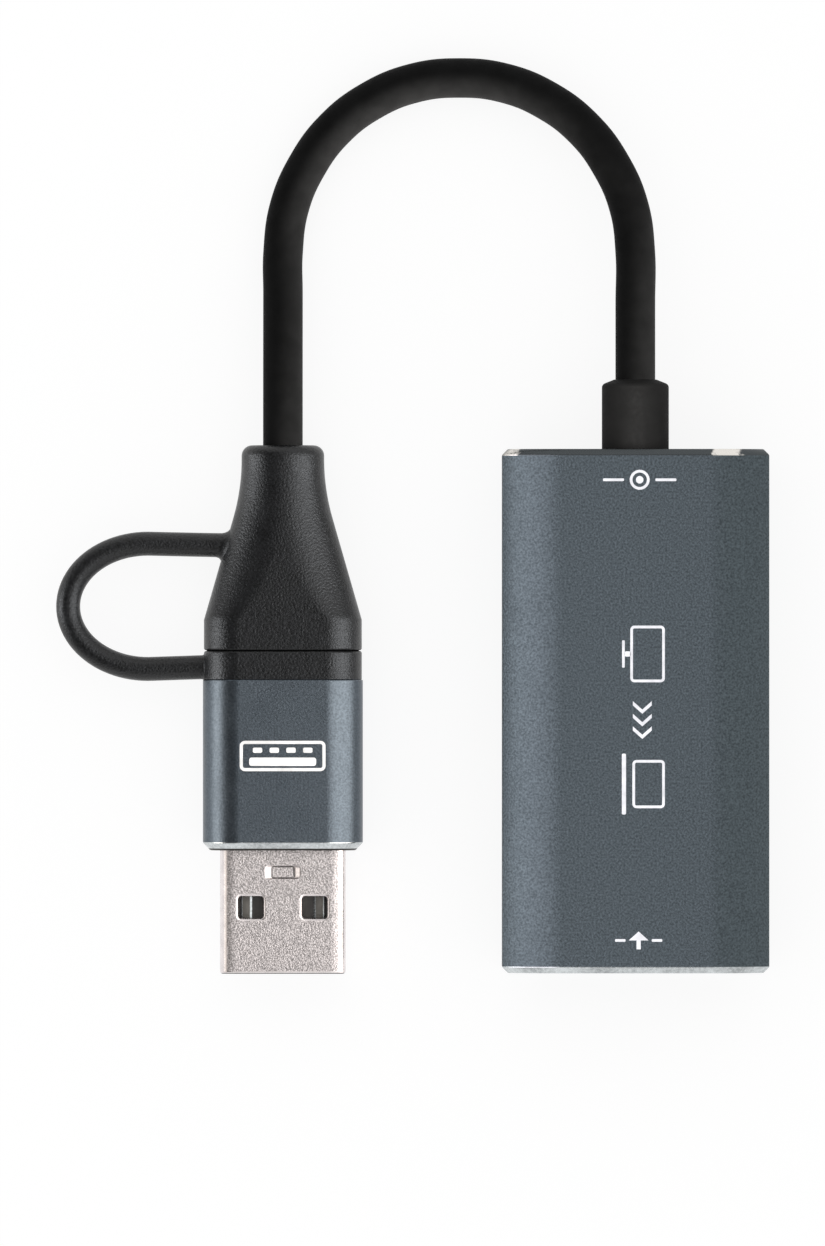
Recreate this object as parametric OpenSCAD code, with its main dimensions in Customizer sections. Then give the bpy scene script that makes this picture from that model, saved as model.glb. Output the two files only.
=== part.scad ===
// Pocket video capture box, lying flat on a table.
// An aluminium sleeve holds a board with a video socket at one end.
// A short lead leaves the other end and carries a type C plug.
// A type A adapter is pushed on that plug and hangs on a soft tether.
// +X is to the right, +Y runs from the socket to the lead, +Z is up, in millimetres.

/* [Case] */
// Width of the aluminium sleeve
case_w = 25.5; // [24.5:0.1:30]
// Length of the aluminium sleeve
case_l = 50; // [49:0.5:70]
// Thickness of the aluminium sleeve
case_t = 12; // [11.6:0.1:14]
// Width of the flat band along the top and the bottom
case_flat_w = 13.6; // [11:0.1:15]
// Height of the flat along each side
case_side_h = 6.9; // [6.2:0.1:7.4]
// Wall of the sleeve
case_wall = 0.8; // [0.7:0.05:1]
// Bright bevel cut round both ends
case_bevel = 0.55; // [0.2:0.05:0.6]
// Rounding of the four long edges outside
case_edge_r = 0.3; // [0.1:0.05:0.5]
// Rounding of the four long corners inside
case_inner_r = 1.5; // [0.8:0.1:2]

/* [End plates] */
// Thickness of each end plate
plate_t = 2; // [1.5:0.1:2.6]
// How far each end plate lies inside the sleeve
plate_recess = 0.3; // [0.1:0.05:0.5]
// Gap between an end plate and the sleeve
plate_fit = 0.05; // [0.03:0.01:0.1]
// Length of the tabs that hold an end plate to the side walls
plate_tab_l = 4; // [3:0.5:6]
// Height of those tabs
plate_tab_h = 3.4; // [2.5:0.1:4]
// Thickness of those tabs
plate_tab_t = 1; // [0.8:0.1:1.4]

/* [Video socket] */
// Width of the opening
video_w = 14; // [13.8:0.05:14.3]
// Height of the opening
video_h = 4.55; // [4.4:0.05:4.8]
// Width of the opening's narrow lower side
video_low_w = 9.4; // [9:0.1:10]
// Height of the opening's upright sides
video_side_h = 2.6; // [2.3:0.1:2.8]
// Width of the shoulder below each upright side
video_shoulder_w = 1.3; // [1.2:0.05:1.5]
// Sheet metal of the shell
video_wall = 0.35; // [0.25:0.05:0.4]
// How far the rolled lip of the shell stands out all round
video_lip = 0.2; // [0.1:0.05:0.35]
// Length of the rolled lip
video_lip_l = 0.5; // [0.3:0.1:1]
// Depth of the shell
video_depth = 11.5; // [10.5:0.1:13]
// Gap between the lip and the input end plate
video_gap = 0.12; // [0.08:0.02:0.2]
// Width of the tongue
tongue_w = 11.4; // [11:0.1:11.8]
// Thickness of the tongue
tongue_t = 0.9; // [0.7:0.05:1.2]
// How far the tongue lies behind the lip
tongue_setback = 1.6; // [1.2:0.1:2.4]
// How far the tongue lies above the middle of the opening
tongue_raise = 0.2; // [0:0.05:0.4]
// Thickness of the moulded block behind the tongue
tongue_block_t = 2.8; // [2:0.1:3.5]
// Number of contacts, shared by the two sides of the tongue
video_contacts_n = 19; // [9:2:19]
// Spacing of the contacts
video_pitch = 0.5; // [0.45:0.01:0.52]
// Width of a contact
video_contact_w = 0.28; // [0.2:0.02:0.34]
// Thickness of a contact
video_contact_t = 0.12; // [0.08:0.02:0.16]

/* [Main board] */
// Width of the board
board_w = 20.6; // [19.6:0.1:21]
// Length of the board
board_l = 37; // [34:0.5:38]
// Thickness of the board
board_t = 1.2; // [0.8:0.1:1.4]
// Gap round the board in the rails and round the legs in the board
board_fit = 0.1; // [0.05:0.01:0.15]
// Thickness of the rails under and over the board's edges
rail_t = 0.6; // [0.4:0.05:0.8]
// How far the rails reach over the board
rail_reach = 0.8; // [0.5:0.1:1.2]

/* [Board parts] */
// Side of the capture chip
chip_w = 9; // [7:0.5:10]
// Height of the capture chip
chip_h = 0.95; // [0.7:0.05:1.2]
// Side of the thermal pad below the capture chip
pad_w = 12; // [9:0.5:13]
// Length of the memory chip
memory_l = 4.9; // [4.5:0.1:5.2]
// Width of the memory chip's body
memory_w = 3.9; // [3.6:0.1:4.1]
// Height of the memory chip
memory_h = 1.5; // [1.2:0.1:1.8]
// Length of the crystal can
crystal_l = 3.2; // [2.5:0.1:4]
// Side of the shielded inductor
inductor_w = 4; // [3:0.1:4.4]
// Height of the shielded inductor
inductor_h = 2; // [1.5:0.1:3]
// Length of the voltage regulator
regulator_l = 2.9; // [2.5:0.1:3.2]
// Length of a chip capacitor
capacitor_l = 1.6; // [1:0.1:2]
// Number of chip capacitors in each row
capacitors_n = 6; // [3:1:6]

/* [Lead] */
// Diameter of the cable
cable_d = 3.8; // [3.2:0.1:4]
// Gap between the cable and the bores that it passes
cable_gap = 0.06; // [0.04:0.01:0.1]
// Diameter of the strain relief collar
collar_d = 6.4; // [6:0.1:7.5]
// How far the collar stands out of the case
collar_l = 6.7; // [5:0.1:8]
// Rounding of the collar's outer end
collar_round = 0.45; // [0.3:0.05:0.8]
// How far that end is domed
collar_dome = 0.5; // [0.2:0.1:0.6]
// Diameter of the strain relief where it passes the end plate
neck_d = 5.4; // [5:0.1:5.8]
// Diameter of the strain relief's flange inside the case
flange_d = 8.6; // [7:0.1:9]
// Thickness of that flange
flange_t = 1.5; // [1:0.1:1.8]
// Diameter of one wire of the cable
wire_d = 0.6; // [0.4:0.05:0.62]
// Spacing of the wires on the board
wire_pitch = 1.6; // [1.4:0.1:2]

/* [Plug] */
// Length of the boot
boot_l = 19.6; // [18:0.1:20]
// Width of the boot's neck
boot_neck_w = 7.9; // [7:0.1:9]
// Thickness of the boot's neck
boot_neck_t = 7; // [6.4:0.1:7.4]
// Length of the boot's even band above the adapter
boot_band_l = 2.9; // [2:0.1:4]
// Rounding of the boot's upper end
boot_round = 1; // [0.5:0.1:1.2]
// Rounding of the edges on both sides of the parting gap
parting_round = 0.2; // [0.1:0.05:0.3]
// Width of the moulded core inside the boot
core_w = 8.4; // [8:0.1:8.8]
// Thickness of that core
core_t = 5; // [4:0.1:5.4]
// Length of that core
core_l = 9; // [8:0.1:10]
// Moulded wall between that core and the boot's lower end
core_wall = 1.2; // [0.8:0.1:1.6]
// Length of the cable that is held in that core
core_grip = 0.6; // [0.4:0.1:1]

/* [Type C plug] */
// Width of the shell
c_w = 8.25; // [8.2:0.01:8.27]
// Thickness of the shell
c_t = 2.4; // [2.36:0.01:2.42]
// Sheet metal of the shell
c_wall = 0.25; // [0.2:0.01:0.28]
// How far the shell stands out of the boot
c_out = 6.65; // [6.3:0.05:6.7]
// How far the shell reaches into the moulded core
c_grip = 2.2; // [1.8:0.1:2.6]
// Depth of the slot for the socket's tongue
c_slot_l = 5.4; // [5.2:0.1:5.8]
// Number of contacts on each side
c_contacts_n = 12; // [6:2:12]
// Spacing of the contacts on both sides of the joint
c_pitch = 0.5; // [0.45:0.01:0.52]
// Width of a contact
c_contact_w = 0.25; // [0.2:0.01:0.3]
// Thickness of a contact
c_contact_t = 0.08; // [0.06:0.01:0.1]

/* [Adapter] */
// Width of the adapter's shell
adapter_w = 15.3; // [14.6:0.1:17]
// Thickness of the adapter's shell
adapter_t = 8; // [7.8:0.1:9]
// Length of the adapter's shell
adapter_l = 16.3; // [15:0.1:20]
// Rounding of the adapter's long sides
adapter_r = 3.5; // [2.5:0.1:3.7]
// Wall of the adapter's shell
adapter_wall = 0.8; // [0.8:0.05:0.9]
// Bright bevel cut round the adapter's lower end
adapter_bevel = 0.7; // [0.3:0.05:0.75]
// Length of the soft ring at the adapter's upper end
ring_l = 2.75; // [2.45:0.05:3]
// How far the ring and the boot lie inside the adapter's outline
ring_step = 0.1; // [0.05:0.05:0.2]
// Parting gap between the boot and the ring
ring_gap = 0.08; // [0.06:0.01:0.2]
// Length of the ring's spigot inside the adapter's shell
spigot_l = 2; // [1.5:0.1:2.4]
// Gap between the pieces held inside the adapter and inside the boot
inner_fit = 0.05; // [0.03:0.01:0.06]
// How far the adapter's core lies inside its lower end
inner_recess = 0.4; // [0.2:0.05:0.6]

/* [Tether] */
// Diameter of the tether
tether_d = 2.3; // [1.8:0.1:2.3]
// Distance from the plug's axis to the end of the loop's straight stretches
tether_reach = 12.9; // [11:0.1:18]
// Length of the loop's rounded end beyond them
tether_bow = 7.65; // [5:0.05:9]
// Height of the tether's root above the boot's lower end
tether_root_h = 10.05; // [8.5:0.05:10.5]
// Length of the root that stands out of the boot
tether_root_l = 1; // [0.6:0.1:1.4]
// Width of that root where it leaves the boot
tether_root_d = 3.4; // [2.6:0.1:3.6]
// Length of the lug that stands out of the ring
ring_lug_l = 0.9; // [0.6:0.1:1.4]
// Height of that lug above the ring's lower end
ring_lug_h = 1.2; // [1.2:0.02:1.28]

/* [Type C socket] */
// Gap round the plug in the socket
socket_gap = 0.08; // [0.05:0.01:0.1]
// Sheet metal of the socket
socket_wall = 0.3; // [0.25:0.01:0.35]
// How far the socket's mouth lies inside the ring
socket_recess = 0.3; // [0.1:0.05:0.4]
// Room between the plug's end and the bottom of the socket
socket_end_gap = 0.25; // [0.15:0.05:0.3]
// Thickness of the block behind the socket's tongue
socket_block_t = 1.5; // [1:0.1:2]
// Width of the socket's tongue
socket_tongue_w = 6.69; // [6.4:0.01:6.8]
// Thickness of the socket's tongue
socket_tongue_t = 0.7; // [0.6:0.02:0.72]
// Length of the socket's tongue
socket_tongue_l = 4.45; // [4:0.05:4.5]
// Gap between the tongue and the plug's contacts
socket_contact_gap = 0.06; // [0.04:0.01:0.08]
// Width of the adapter's board
link_board_w = 9.6; // [9:0.1:10.4]
// Thickness of the adapter's board
link_board_t = 0.8; // [0.6:0.1:1]

/* [Type A plug] */
// Width of the shell
a_w = 12; // [11.9:0.05:12.1]
// Thickness of the shell
a_t = 4.5; // [4.4:0.05:4.6]
// Sheet metal of the shell
a_wall = 0.3; // [0.25:0.01:0.35]
// Rounding of the shell's long edges
a_r = 0.55; // [0.45:0.05:0.7]
// How far the shell stands out of the adapter
a_out = 11.8; // [11.4:0.05:12.2]
// How far the shell reaches into the adapter
a_in = 6.9; // [6:0.1:7.2]
// Width of a latch window
window_w = 2.4; // [2:0.1:2.6]
// Length of a latch window
window_l = 2.1; // [1.8:0.1:2.4]
// Distance of a latch window from the plug's axis
window_x = 3.05; // [2.8:0.05:3.2]
// Distance of a latch window from the open end
window_y = 6.35; // [6:0.05:6.6]
// Length of the pressed bridge above the windows
bridge_l = 3.4; // [3:0.1:4]
// Width of that bridge
bridge_w = 1.25; // [1:0.05:1.4]
// How far that bridge is pressed in
bridge_dip = 0.35; // [0.2:0.05:0.45]
// Distance of that bridge from the adapter's lower end
bridge_y = 2.1; // [1.9:0.05:2.2]
// Thickness of the insulator that carries the contacts
a_tongue_t = 1.9; // [1.8:0.05:1.95]
// How far the insulator lies inside the open end
a_setback = 0.25; // [0.1:0.05:0.5]
// Depth of the hollow above the insulator
a_hollow_l = 10.7; // [10.6:0.05:11]
// Width of a contact
a_contact_w = 1.1; // [0.8:0.05:1.2]
// Thickness of a contact
a_contact_t = 0.2; // [0.1:0.05:0.25]

/* [Hidden] */

// Facets of turned pieces, and points along each rounded corner of an outline
$fn = 48;
arc_steps = 8;
small_steps = 3;
// Smallest radius of a rounded corner, and how far a cutter runs past a face
least_r = 0.02;
over = 1;

// Section of the case, as the corners that its arcs touch
mid_z = case_t / 2;
shoulder_dx = (case_w - case_flat_w) / 2;
shoulder_dz = (case_t - case_side_h) / 2;
shoulder_turn = 2 * atan(shoulder_dz / shoulder_dx);
edge_turn = 90 - shoulder_turn;
shoulder_arc_r = (pow(shoulder_dx, 2) + pow(shoulder_dz, 2)) / (2 * shoulder_dz);
shoulder_x = case_flat_w / 2 + shoulder_arc_r * shoulder_dz / shoulder_dx;
case_corners = [
    [case_w / 2, -case_side_h / 2],
    [case_w / 2, case_side_h / 2],
    [shoulder_x, case_t / 2],
    [-shoulder_x, case_t / 2],
    [-case_w / 2, case_side_h / 2],
    [-case_w / 2, -case_side_h / 2],
    [-shoulder_x, -case_t / 2],
    [shoulder_x, -case_t / 2]
];
// Straight stretch left between a shoulder's arc and the rounded edge next to it
shoulder_rest = 0.1;

// Stations along the case
input_face_y = -case_l / 2 + plate_recess;
input_inner_y = input_face_y + plate_t;
lead_face_y = case_l / 2 - plate_recess;
lead_inner_y = lead_face_y - plate_t;
tab_raise = 1;
tab_z = mid_z - plate_tab_h / 2 + tab_raise;

// Opening of the video socket, wide side up
video_side_z = video_h / 2 - video_side_h;
video_corners = [
    [video_low_w / 2, -video_h / 2],
    [video_w / 2 - video_shoulder_w, video_side_z],
    [video_w / 2, video_side_z],
    [video_w / 2, video_h / 2],
    [-video_w / 2, video_h / 2],
    [-video_w / 2, video_side_z],
    [-video_w / 2 + video_shoulder_w, video_side_z],
    [-video_low_w / 2, -video_h / 2]
];
video_side_r = 0.35;
video_shoulder_r = 0.75;
video_low_r = 0.5;
video_radii = [
    video_low_r, video_shoulder_r, video_side_r, video_side_r,
    video_side_r, video_side_r, video_shoulder_r, video_low_r
];
video_rear_y = input_face_y + video_depth;
tongue_y = input_face_y + tongue_setback;
tongue_top_z = mid_z + tongue_raise + tongue_t / 2;
tongue_low_z = mid_z + tongue_raise - tongue_t / 2;
video_foot_l = 0.9;
video_tail_gap = 0.5;
video_tail_y = video_rear_y + video_tail_gap;
// Spring windows in the shell, their distance from the lip and the fingers in them
spring_w = 2.2;
spring_l = 4.6;
spring_y = 2.6;
spring_dip = 0.4;
spring_slit = 0.3;
spring_high_x = 3.9;
spring_low_x = 3.1;
// Legs of the shell, and their distances from the lip
leg_l = 1.4;
leg_near_y = 4;
leg_far_y = 9.2;
leg_below = 0.5;

// Main board
board_top = mid_z - video_h / 2 - video_wall;
board_low = board_top - board_t;
board_y = input_inner_y + board_fit;
board_end_y = board_y + board_l;
// Leads of the small packages
lead_w = 0.4;
lead_pitch = 1.27;
lead_out = 1.05;
lead_t = 0.2;
// Parts on the board, one after the other from the video socket towards the lead
part_gap = 1;
near_row_y = video_tail_y + video_foot_l + part_gap + capacitor_l / 2;
chip_y = near_row_y + capacitor_l / 2 + part_gap + chip_w / 2;
memory_y = chip_y + chip_w / 2 + part_gap + memory_l / 2;
far_row_y = memory_y + memory_l / 2 + part_gap + capacitor_l / 2;
crystal_w = 2.5;
crystal_h = 0.8;
crystal_y = chip_y - chip_w / 2 + crystal_w / 2;
inductor_y = crystal_y + crystal_w / 2 + part_gap + inductor_w / 2;
regulator_w = 1.6;
regulator_h = 1.1;

// Lead
exit_z = mid_z;
cable_bore_r = cable_d / 2 + cable_gap;
flange_y = lead_inner_y - flange_t;
cable_sides = 8;
wire_rows = 2;
wire_columns = 4;
wire_step = 0.75;
wire_row_gap = 0.95;
wire_end_gap = 0.3;
wire_land = 1.5;

// Route of the cable: out of the collar, over to the left, down on the table and into the boot
cable_route = [
    [0, 20.5, 6], [0, 24, 6], [0, 28, 6], [0, 31.8, 6], [0, 35, 6], [0, 39, 5.9],
    [0, 43.8, 5.6], [-0.6, 48.2, 5], [-2.3, 52.2, 4.4], [-4.9, 55.7, 3.6],
    [-8.4, 58.4, 3], [-12.5, 60.1, 2.4], [-16.8, 60.6, 2.1], [-21.2, 60.1, 2],
    [-25.3, 58.4, 2], [-28.8, 55.7, 2], [-31.4, 52.2, 2], [-33.1, 48.2, 2],
    [-33.7, 43.8, 2.1], [-33.7, 40, 2.6], [-33.7, 36, 3.3], [-33.7, 32, 3.8],
    [-33.7, 28.6, 4], [-33.7, 25.4, 4], [-33.7, 21, 4], [-33.7, 15.4, 4]
];

// Plug, placed by the end of the cable and lying on the table
cable_end = cable_route[len(cable_route) - 1];
plug_x = cable_end.x;
plug_y = cable_end.y + core_grip - core_l - core_wall;
plug_z = adapter_t / 2;
band_w = adapter_w - 2 * ring_step;
band_t = adapter_t - 2 * ring_step;
band_r = adapter_r - ring_step;
neck_flat = 0.2;
neck_r = (boot_neck_t - neck_flat) / 2;
flare_start = 0.08;
flare_end = 0.42;
flare_slope = 1 / (1 - (flare_start + flare_end) / 2);
flare_rings = 12;
round_rings = 3;
core_y = plug_y + core_wall;
core_end_y = core_y + core_l;
core_r = 1;

// Type C plug and its socket
c_side_flat = 0.1;
c_r = (c_t - c_side_flat) / 2;
c_tip_y = plug_y - c_out;
c_rear_y = core_y + c_grip;
c_face = 0.35;
c_slot_gap = 0.1;
c_slot_w = socket_tongue_w + 2 * c_slot_gap;
c_contact_z = socket_tongue_t / 2 + socket_contact_gap;
c_slot_t = 2 * (c_contact_z + c_contact_t);
c_contact_setback = 1;
c_contact_y = c_tip_y + c_contact_setback;
c_contact_tail = 1.2;
c_contact_end_y = c_rear_y + c_contact_tail;
plug_board_w = 7;
plug_board_end_y = core_end_y - core_grip;
socket_w = c_w + 2 * socket_gap;
socket_t = c_t + 2 * socket_gap;
socket_r = c_r + socket_gap;

// Adapter
ring_top_y = plug_y - ring_gap;
ring_y = ring_top_y - ring_l;
adapter_y = ring_y - adapter_l;
spigot_y = ring_y - spigot_l;
adapter_core_y = adapter_y + inner_recess;
socket_mouth_y = ring_top_y - socket_recess;
socket_floor_y = c_tip_y - socket_end_gap;
socket_rear_y = socket_floor_y - socket_block_t;
socket_contact_l = 3.4;
socket_contact_t = 0.05;

// Type A plug
a_tip_y = adapter_y - a_out;
a_rear_y = adapter_y + a_in;
a_tongue_z = plug_z - a_t / 2 + a_wall + a_tongue_t;
// Inner and outer contacts: distance from the axis and from the open end
a_inner_x = 1;
a_inner_y = 2.1;
a_outer_x = 3.5;
a_outer_y = 1.1;
a_contact_tail = 2;
window_r = 0.3;

// Tether
tether_high_y = plug_y + tether_root_h;
tether_low_y = ring_y + ring_lug_h;
tether_loop_h = (tether_high_y - tether_low_y) / 2;
tether_loop_x = plug_x - tether_reach;
tether_loop_y = (tether_high_y + tether_low_y) / 2;
boot_root_x = plug_x - boot_half_w(tether_root_h) - tether_root_l;
ring_lug_x = plug_x - band_w / 2 - ring_lug_l;
root_sink = 0.6;
tether_sides = 12;
tether_arc_steps = 16;
tether_route = concat(
    [[boot_root_x, tether_high_y, plug_z]],
    [for (i = [0:tether_arc_steps])
        let (a = 90 + 180 * i / tether_arc_steps)
        [tether_loop_x + tether_bow * cos(a), tether_loop_y + tether_loop_h * sin(a), plug_z]],
    [[ring_lug_x, tether_low_y, plug_z]]
);

// Direction of a vector
function unit(v) = v / norm(v);

// Points of the arc that rounds corner p between its neighbours a and b
function corner_arc(a, p, b, r, steps) =
    let (
        u = unit(a - p),
        v = unit(b - p),
        half = acos(u * v) / 2,
        c = p + unit(u + v) * r / sin(half),
        from = p + u * r / tan(half) - c,
        to = p + v * r / tan(half) - c,
        start = atan2(from.y, from.x),
        sweep = (atan2(to.y, to.x) - start + 540) % 360 - 180
    )
    [for (i = [0:steps])
        let (angle = start + sweep * i / steps)
        c + r * [cos(angle), sin(angle)]];

// Closed outline with its corners rounded, a radius of 0 keeping a corner sharp
function rounded(corners, radii, steps = arc_steps) =
    let (n = len(corners))
    [for (i = [0:n - 1])
        each radii[i] <= 0
            ? [corners[i]]
            : corner_arc(corners[(i + n - 1) % n], corners[i], corners[(i + 1) % n], radii[i], steps)];

// Edge directions before and after corner i
function edge_in(corners, i) =
    unit(corners[i] - corners[(i + len(corners) - 1) % len(corners)]);
function edge_out(corners, i) =
    unit(corners[(i + 1) % len(corners)] - corners[i]);

// Anticlockwise outline with each edge moved outward by d
function grown(corners, d) =
    [for (i = [0:len(corners) - 1])
        let (
            e = edge_in(corners, i),
            f = edge_out(corners, i),
            n = [e.y, -e.x],
            m = [f.y, -f.x]
        )
        corners[i] + (n + m) * d / (1 + n * m)];

// Radii that keep a grown outline's arcs on the same centres
function grown_radii(corners, radii, d) =
    [for (i = [0:len(corners) - 1])
        max(least_r, radii[i] + d * sign(cross(edge_in(corners, i), edge_out(corners, i))))];

// Section of the case, drawn in by inset, with its long edges rounded by edge_r
function case_outline(inset, edge_r) =
    let (
        corners = grown(case_corners, -inset),
        run = norm(corners[2] - corners[1]) - shoulder_rest,
        shoulder_r = (run - edge_r * tan(edge_turn / 2)) / tan(shoulder_turn / 2)
    )
    rounded(corners, [edge_r, edge_r, shoulder_r, shoulder_r, edge_r, edge_r, shoulder_r, shoulder_r]);

// Section of the video socket, grown from the opening by d
function video_outline(d) =
    rounded(grown(video_corners, d), grown_radii(video_corners, video_radii, d));

// Rounded slab section, grown by d
function slab_outline(w, t, r, d = 0, steps = arc_steps) =
    rounded(
        [
            [w / 2 + d, -t / 2 - d],
            [w / 2 + d, t / 2 + d],
            [-w / 2 - d, t / 2 + d],
            [-w / 2 - d, -t / 2 - d]
        ],
        [for (i = [0:3]) max(least_r, r + d)],
        steps
    );

// Outline placed across Y as a ring in space
function ring_at(outline, y, x = 0, z = 0) = [for (p = outline) [x + p.x, y, z + p.y]];

// Share of the boot's widening at height h above its lower end
function boot_flare(h) =
    let (u = (boot_l - h) / (boot_l - boot_band_l))
    u <= flare_start ? 0
    : u >= 1 ? 1
    : u < flare_end ? flare_slope * pow(u - flare_start, 2) / (2 * (flare_end - flare_start))
    : flare_slope * (u - (flare_start + flare_end) / 2);

function boot_half_w(h) = (boot_neck_w + (band_w - boot_neck_w) * boot_flare(h)) / 2;

// Ring of the boot at height h, drawn in by inset
function boot_ring(h, inset) =
    let (
        f = boot_flare(h),
        t = boot_neck_t + (band_t - boot_neck_t) * f,
        r = neck_r + (band_r - neck_r) * f
    )
    ring_at(slab_outline(2 * boot_half_w(h), t, r, -inset), plug_y + h, plug_x, plug_z);

// Solid skinned over rings of equal count, each anticlockwise as seen along the way
module skin(rings) {
    n = len(rings[0]);
    last = len(rings) - 1;
    sides = [
        for (j = [0:last - 1], i = [0:n - 1])
            let (a = j * n + i, b = j * n + (i + 1) % n)
            each [[a, b, b + n], [a, b + n, a + n]]
    ];
    near_cap = [for (i = [n - 1:-1:0]) i];
    far_cap = [for (i = [0:n - 1]) last * n + i];
    polyhedron([for (ring = rings) each ring], concat(sides, [near_cap, far_cap]));
}

// Round tube along a route
module tube(route, d, sides) {
    last = len(route) - 1;
    skin([
        for (i = [0:last])
            let (
                way = unit(route[min(i + 1, last)] - route[max(i - 1, 0)]),
                right = unit(cross(way, [0, 0, 1])),
                up = cross(right, way)
            )
            [for (k = [0:sides - 1])
                let (a = 360 * k / sides)
                route[i] + d / 2 * (right * cos(a) + up * sin(a))]
    ]);
}

// Straight round rod from p to q
module rod(p, q, d) {
    way = q - p;
    translate(p)
        rotate([0, acos(way.z / norm(way)), atan2(way.y, way.x)])
            cylinder(d = d, h = norm(way));
}

// Flat shape in X and Z, drawn out along Y
module along_y(y, length) {
    translate([0, y + length, 0])
        rotate([90, 0, 0])
            linear_extrude(length) children();
}

// Flat shape in Y and Z, drawn out along X
module along_x(x, length) {
    translate([x, 0, 0])
        rotate([90, 0, 90])
            linear_extrude(length) children();
}

// Block between two corners
module block(low, high) {
    translate(low) cube(high - low);
}

// Slab drawn out along Y round the plug's axis
module plug_slab(w, t, r, d, y, end_y, steps = arc_steps) {
    translate([plug_x, 0, plug_z])
        along_y(y, end_y - y) polygon(slab_outline(w, t, r, d, steps));
}

// Space inside the sleeve, drawn in by a gap
module case_inside(gap, y, end_y) {
    translate([0, 0, mid_z])
        along_y(y, end_y - y) polygon(case_outline(case_wall + gap, case_inner_r));
}

module case_sleeve() {
    color("slategray")
    difference() {
        union() {
            difference() {
                skin([
                    ring_at(case_outline(case_bevel, case_edge_r), -case_l / 2, 0, mid_z),
                    ring_at(case_outline(0, case_edge_r), -case_l / 2 + case_bevel, 0, mid_z),
                    ring_at(case_outline(0, case_edge_r), case_l / 2 - case_bevel, 0, mid_z),
                    ring_at(case_outline(case_bevel, case_edge_r), case_l / 2, 0, mid_z)
                ]);
                case_inside(0, -case_l / 2 - over, case_l / 2 + over);
            }
            board_rails();
        }
        block(
            [-board_w / 2 - board_fit, -case_l / 2 - over, board_low],
            [board_w / 2 + board_fit, case_l / 2 + over, board_top + board_fit]
        );
    }
}

// Rails under and over both edges of the board, between the end plates
module board_rails() {
    rail_x = board_w / 2 - rail_reach;
    intersection() {
        translate([0, 0, mid_z])
            along_y(input_inner_y + board_fit, lead_inner_y - input_inner_y - 2 * board_fit)
                polygon(case_outline(case_wall / 2, case_inner_r));
        for (side = [-1, 1])
            translate([side * (rail_x + case_w / 4), 0, 0])
                block(
                    [-case_w / 4, -case_l / 2, board_low - rail_t],
                    [case_w / 4, case_l / 2, board_top + board_fit + rail_t]
                );
    }
}

// End plate from its outer face to its inner face, with tabs along the side walls
module end_plate(y, end_y, tab_y, tab_end_y) {
    case_inside(plate_fit, y, end_y);
    intersection() {
        case_inside(plate_fit, tab_y, tab_end_y);
        for (side = [-1, 1])
            translate([side * (case_w / 2 - case_wall - plate_fit - plate_tab_t / 2), 0, 0])
                block([-plate_tab_t / 2, tab_y, tab_z], [plate_tab_t / 2, tab_end_y, tab_z + plate_tab_h]);
    }
}

module input_plate() {
    color("#1b1d20")
    difference() {
        end_plate(input_face_y, input_inner_y, input_inner_y, input_inner_y + plate_tab_l);
        translate([0, 0, mid_z])
            along_y(input_face_y - over, plate_t + 2 * over)
                polygon(video_outline(video_wall + video_lip + video_gap));
    }
}

module lead_plate() {
    color("#1b1d20")
    difference() {
        end_plate(lead_inner_y, lead_face_y, lead_inner_y - plate_tab_l, lead_inner_y);
        translate([0, lead_inner_y - over, exit_z])
            rotate([-90, 0, 0])
                cylinder(d = neck_d + 2 * plate_fit, h = plate_t + 2 * over);
    }
}

module main_board() {
    color("darkgreen")
    difference() {
        block([-board_w / 2, board_y, board_low], [board_w / 2, board_end_y, board_top]);
        video_legs(board_fit, over);
    }
}

// Four legs of the video shell, grown by a gap and lengthened below
module video_legs(gap, below) {
    for (side = [-1, 1], y = [leg_near_y, leg_far_y])
        translate([side * (video_w + video_wall) / 2, input_face_y + y, 0])
            block(
                [-video_wall / 2 - gap, -gap, board_low - leg_below - below],
                [video_wall / 2 + gap, leg_l + gap, mid_z]
            );
}

// Room of the spring windows, on the wide side and on the narrow side
module spring_windows() {
    for (side = [-1, 1]) {
        translate([side * spring_high_x, input_face_y + spring_y, mid_z])
            block([-spring_w / 2, 0, 0], [spring_w / 2, spring_l, video_h]);
        translate([side * spring_low_x, input_face_y + spring_y, mid_z])
            block(
                [-spring_w / 2, 0, -video_h / 2 - video_wall],
                [spring_w / 2, spring_l, -video_h / 2 + over]
            );
    }
}

// Spring finger that dips into the opening, rooted behind its window
module spring_finger(x, face) {
    root_z = video_h / 2;
    translate([0, input_face_y + spring_y, mid_z])
        along_x(x - spring_w / 2 + spring_slit, spring_w - 2 * spring_slit)
            polygon([
                [spring_l, face * root_z],
                [spring_l, face * (root_z + video_wall)],
                [spring_slit, face * (root_z - spring_dip)],
                [spring_slit, face * (root_z - spring_dip - video_wall)]
            ]);
}

module video_shell() {
    color("silver") {
        difference() {
            translate([0, 0, mid_z]) {
                along_y(input_face_y, video_depth) polygon(video_outline(video_wall));
                along_y(input_face_y, video_lip_l) polygon(video_outline(video_wall + video_lip));
            }
            translate([0, 0, mid_z])
                along_y(input_face_y - over, video_depth + 2 * over) polygon(video_outline(0));
            spring_windows();
        }
        video_legs(0, 0);
        for (side = [-1, 1]) {
            spring_finger(side * spring_high_x, 1);
            spring_finger(side * spring_low_x, -1);
        }
    }
}

// One contact: tip over the tongue's edge, run to the back, tail and foot on the board
module video_contact(x, face_z, tip_z) {
    t = video_contact_t;
    low = min(face_z, tip_z);
    along_x(x - video_contact_w / 2, video_contact_w) {
        translate([tongue_y - t, low]) square([t, abs(tip_z - face_z)]);
        translate([tongue_y - t, face_z - t / 2]) square([video_tail_y - tongue_y + 2 * t, t]);
        translate([video_tail_y, board_top]) square([t, face_z + t / 2 - board_top]);
        translate([video_tail_y, board_top]) square([video_foot_l, t]);
    }
}

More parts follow.
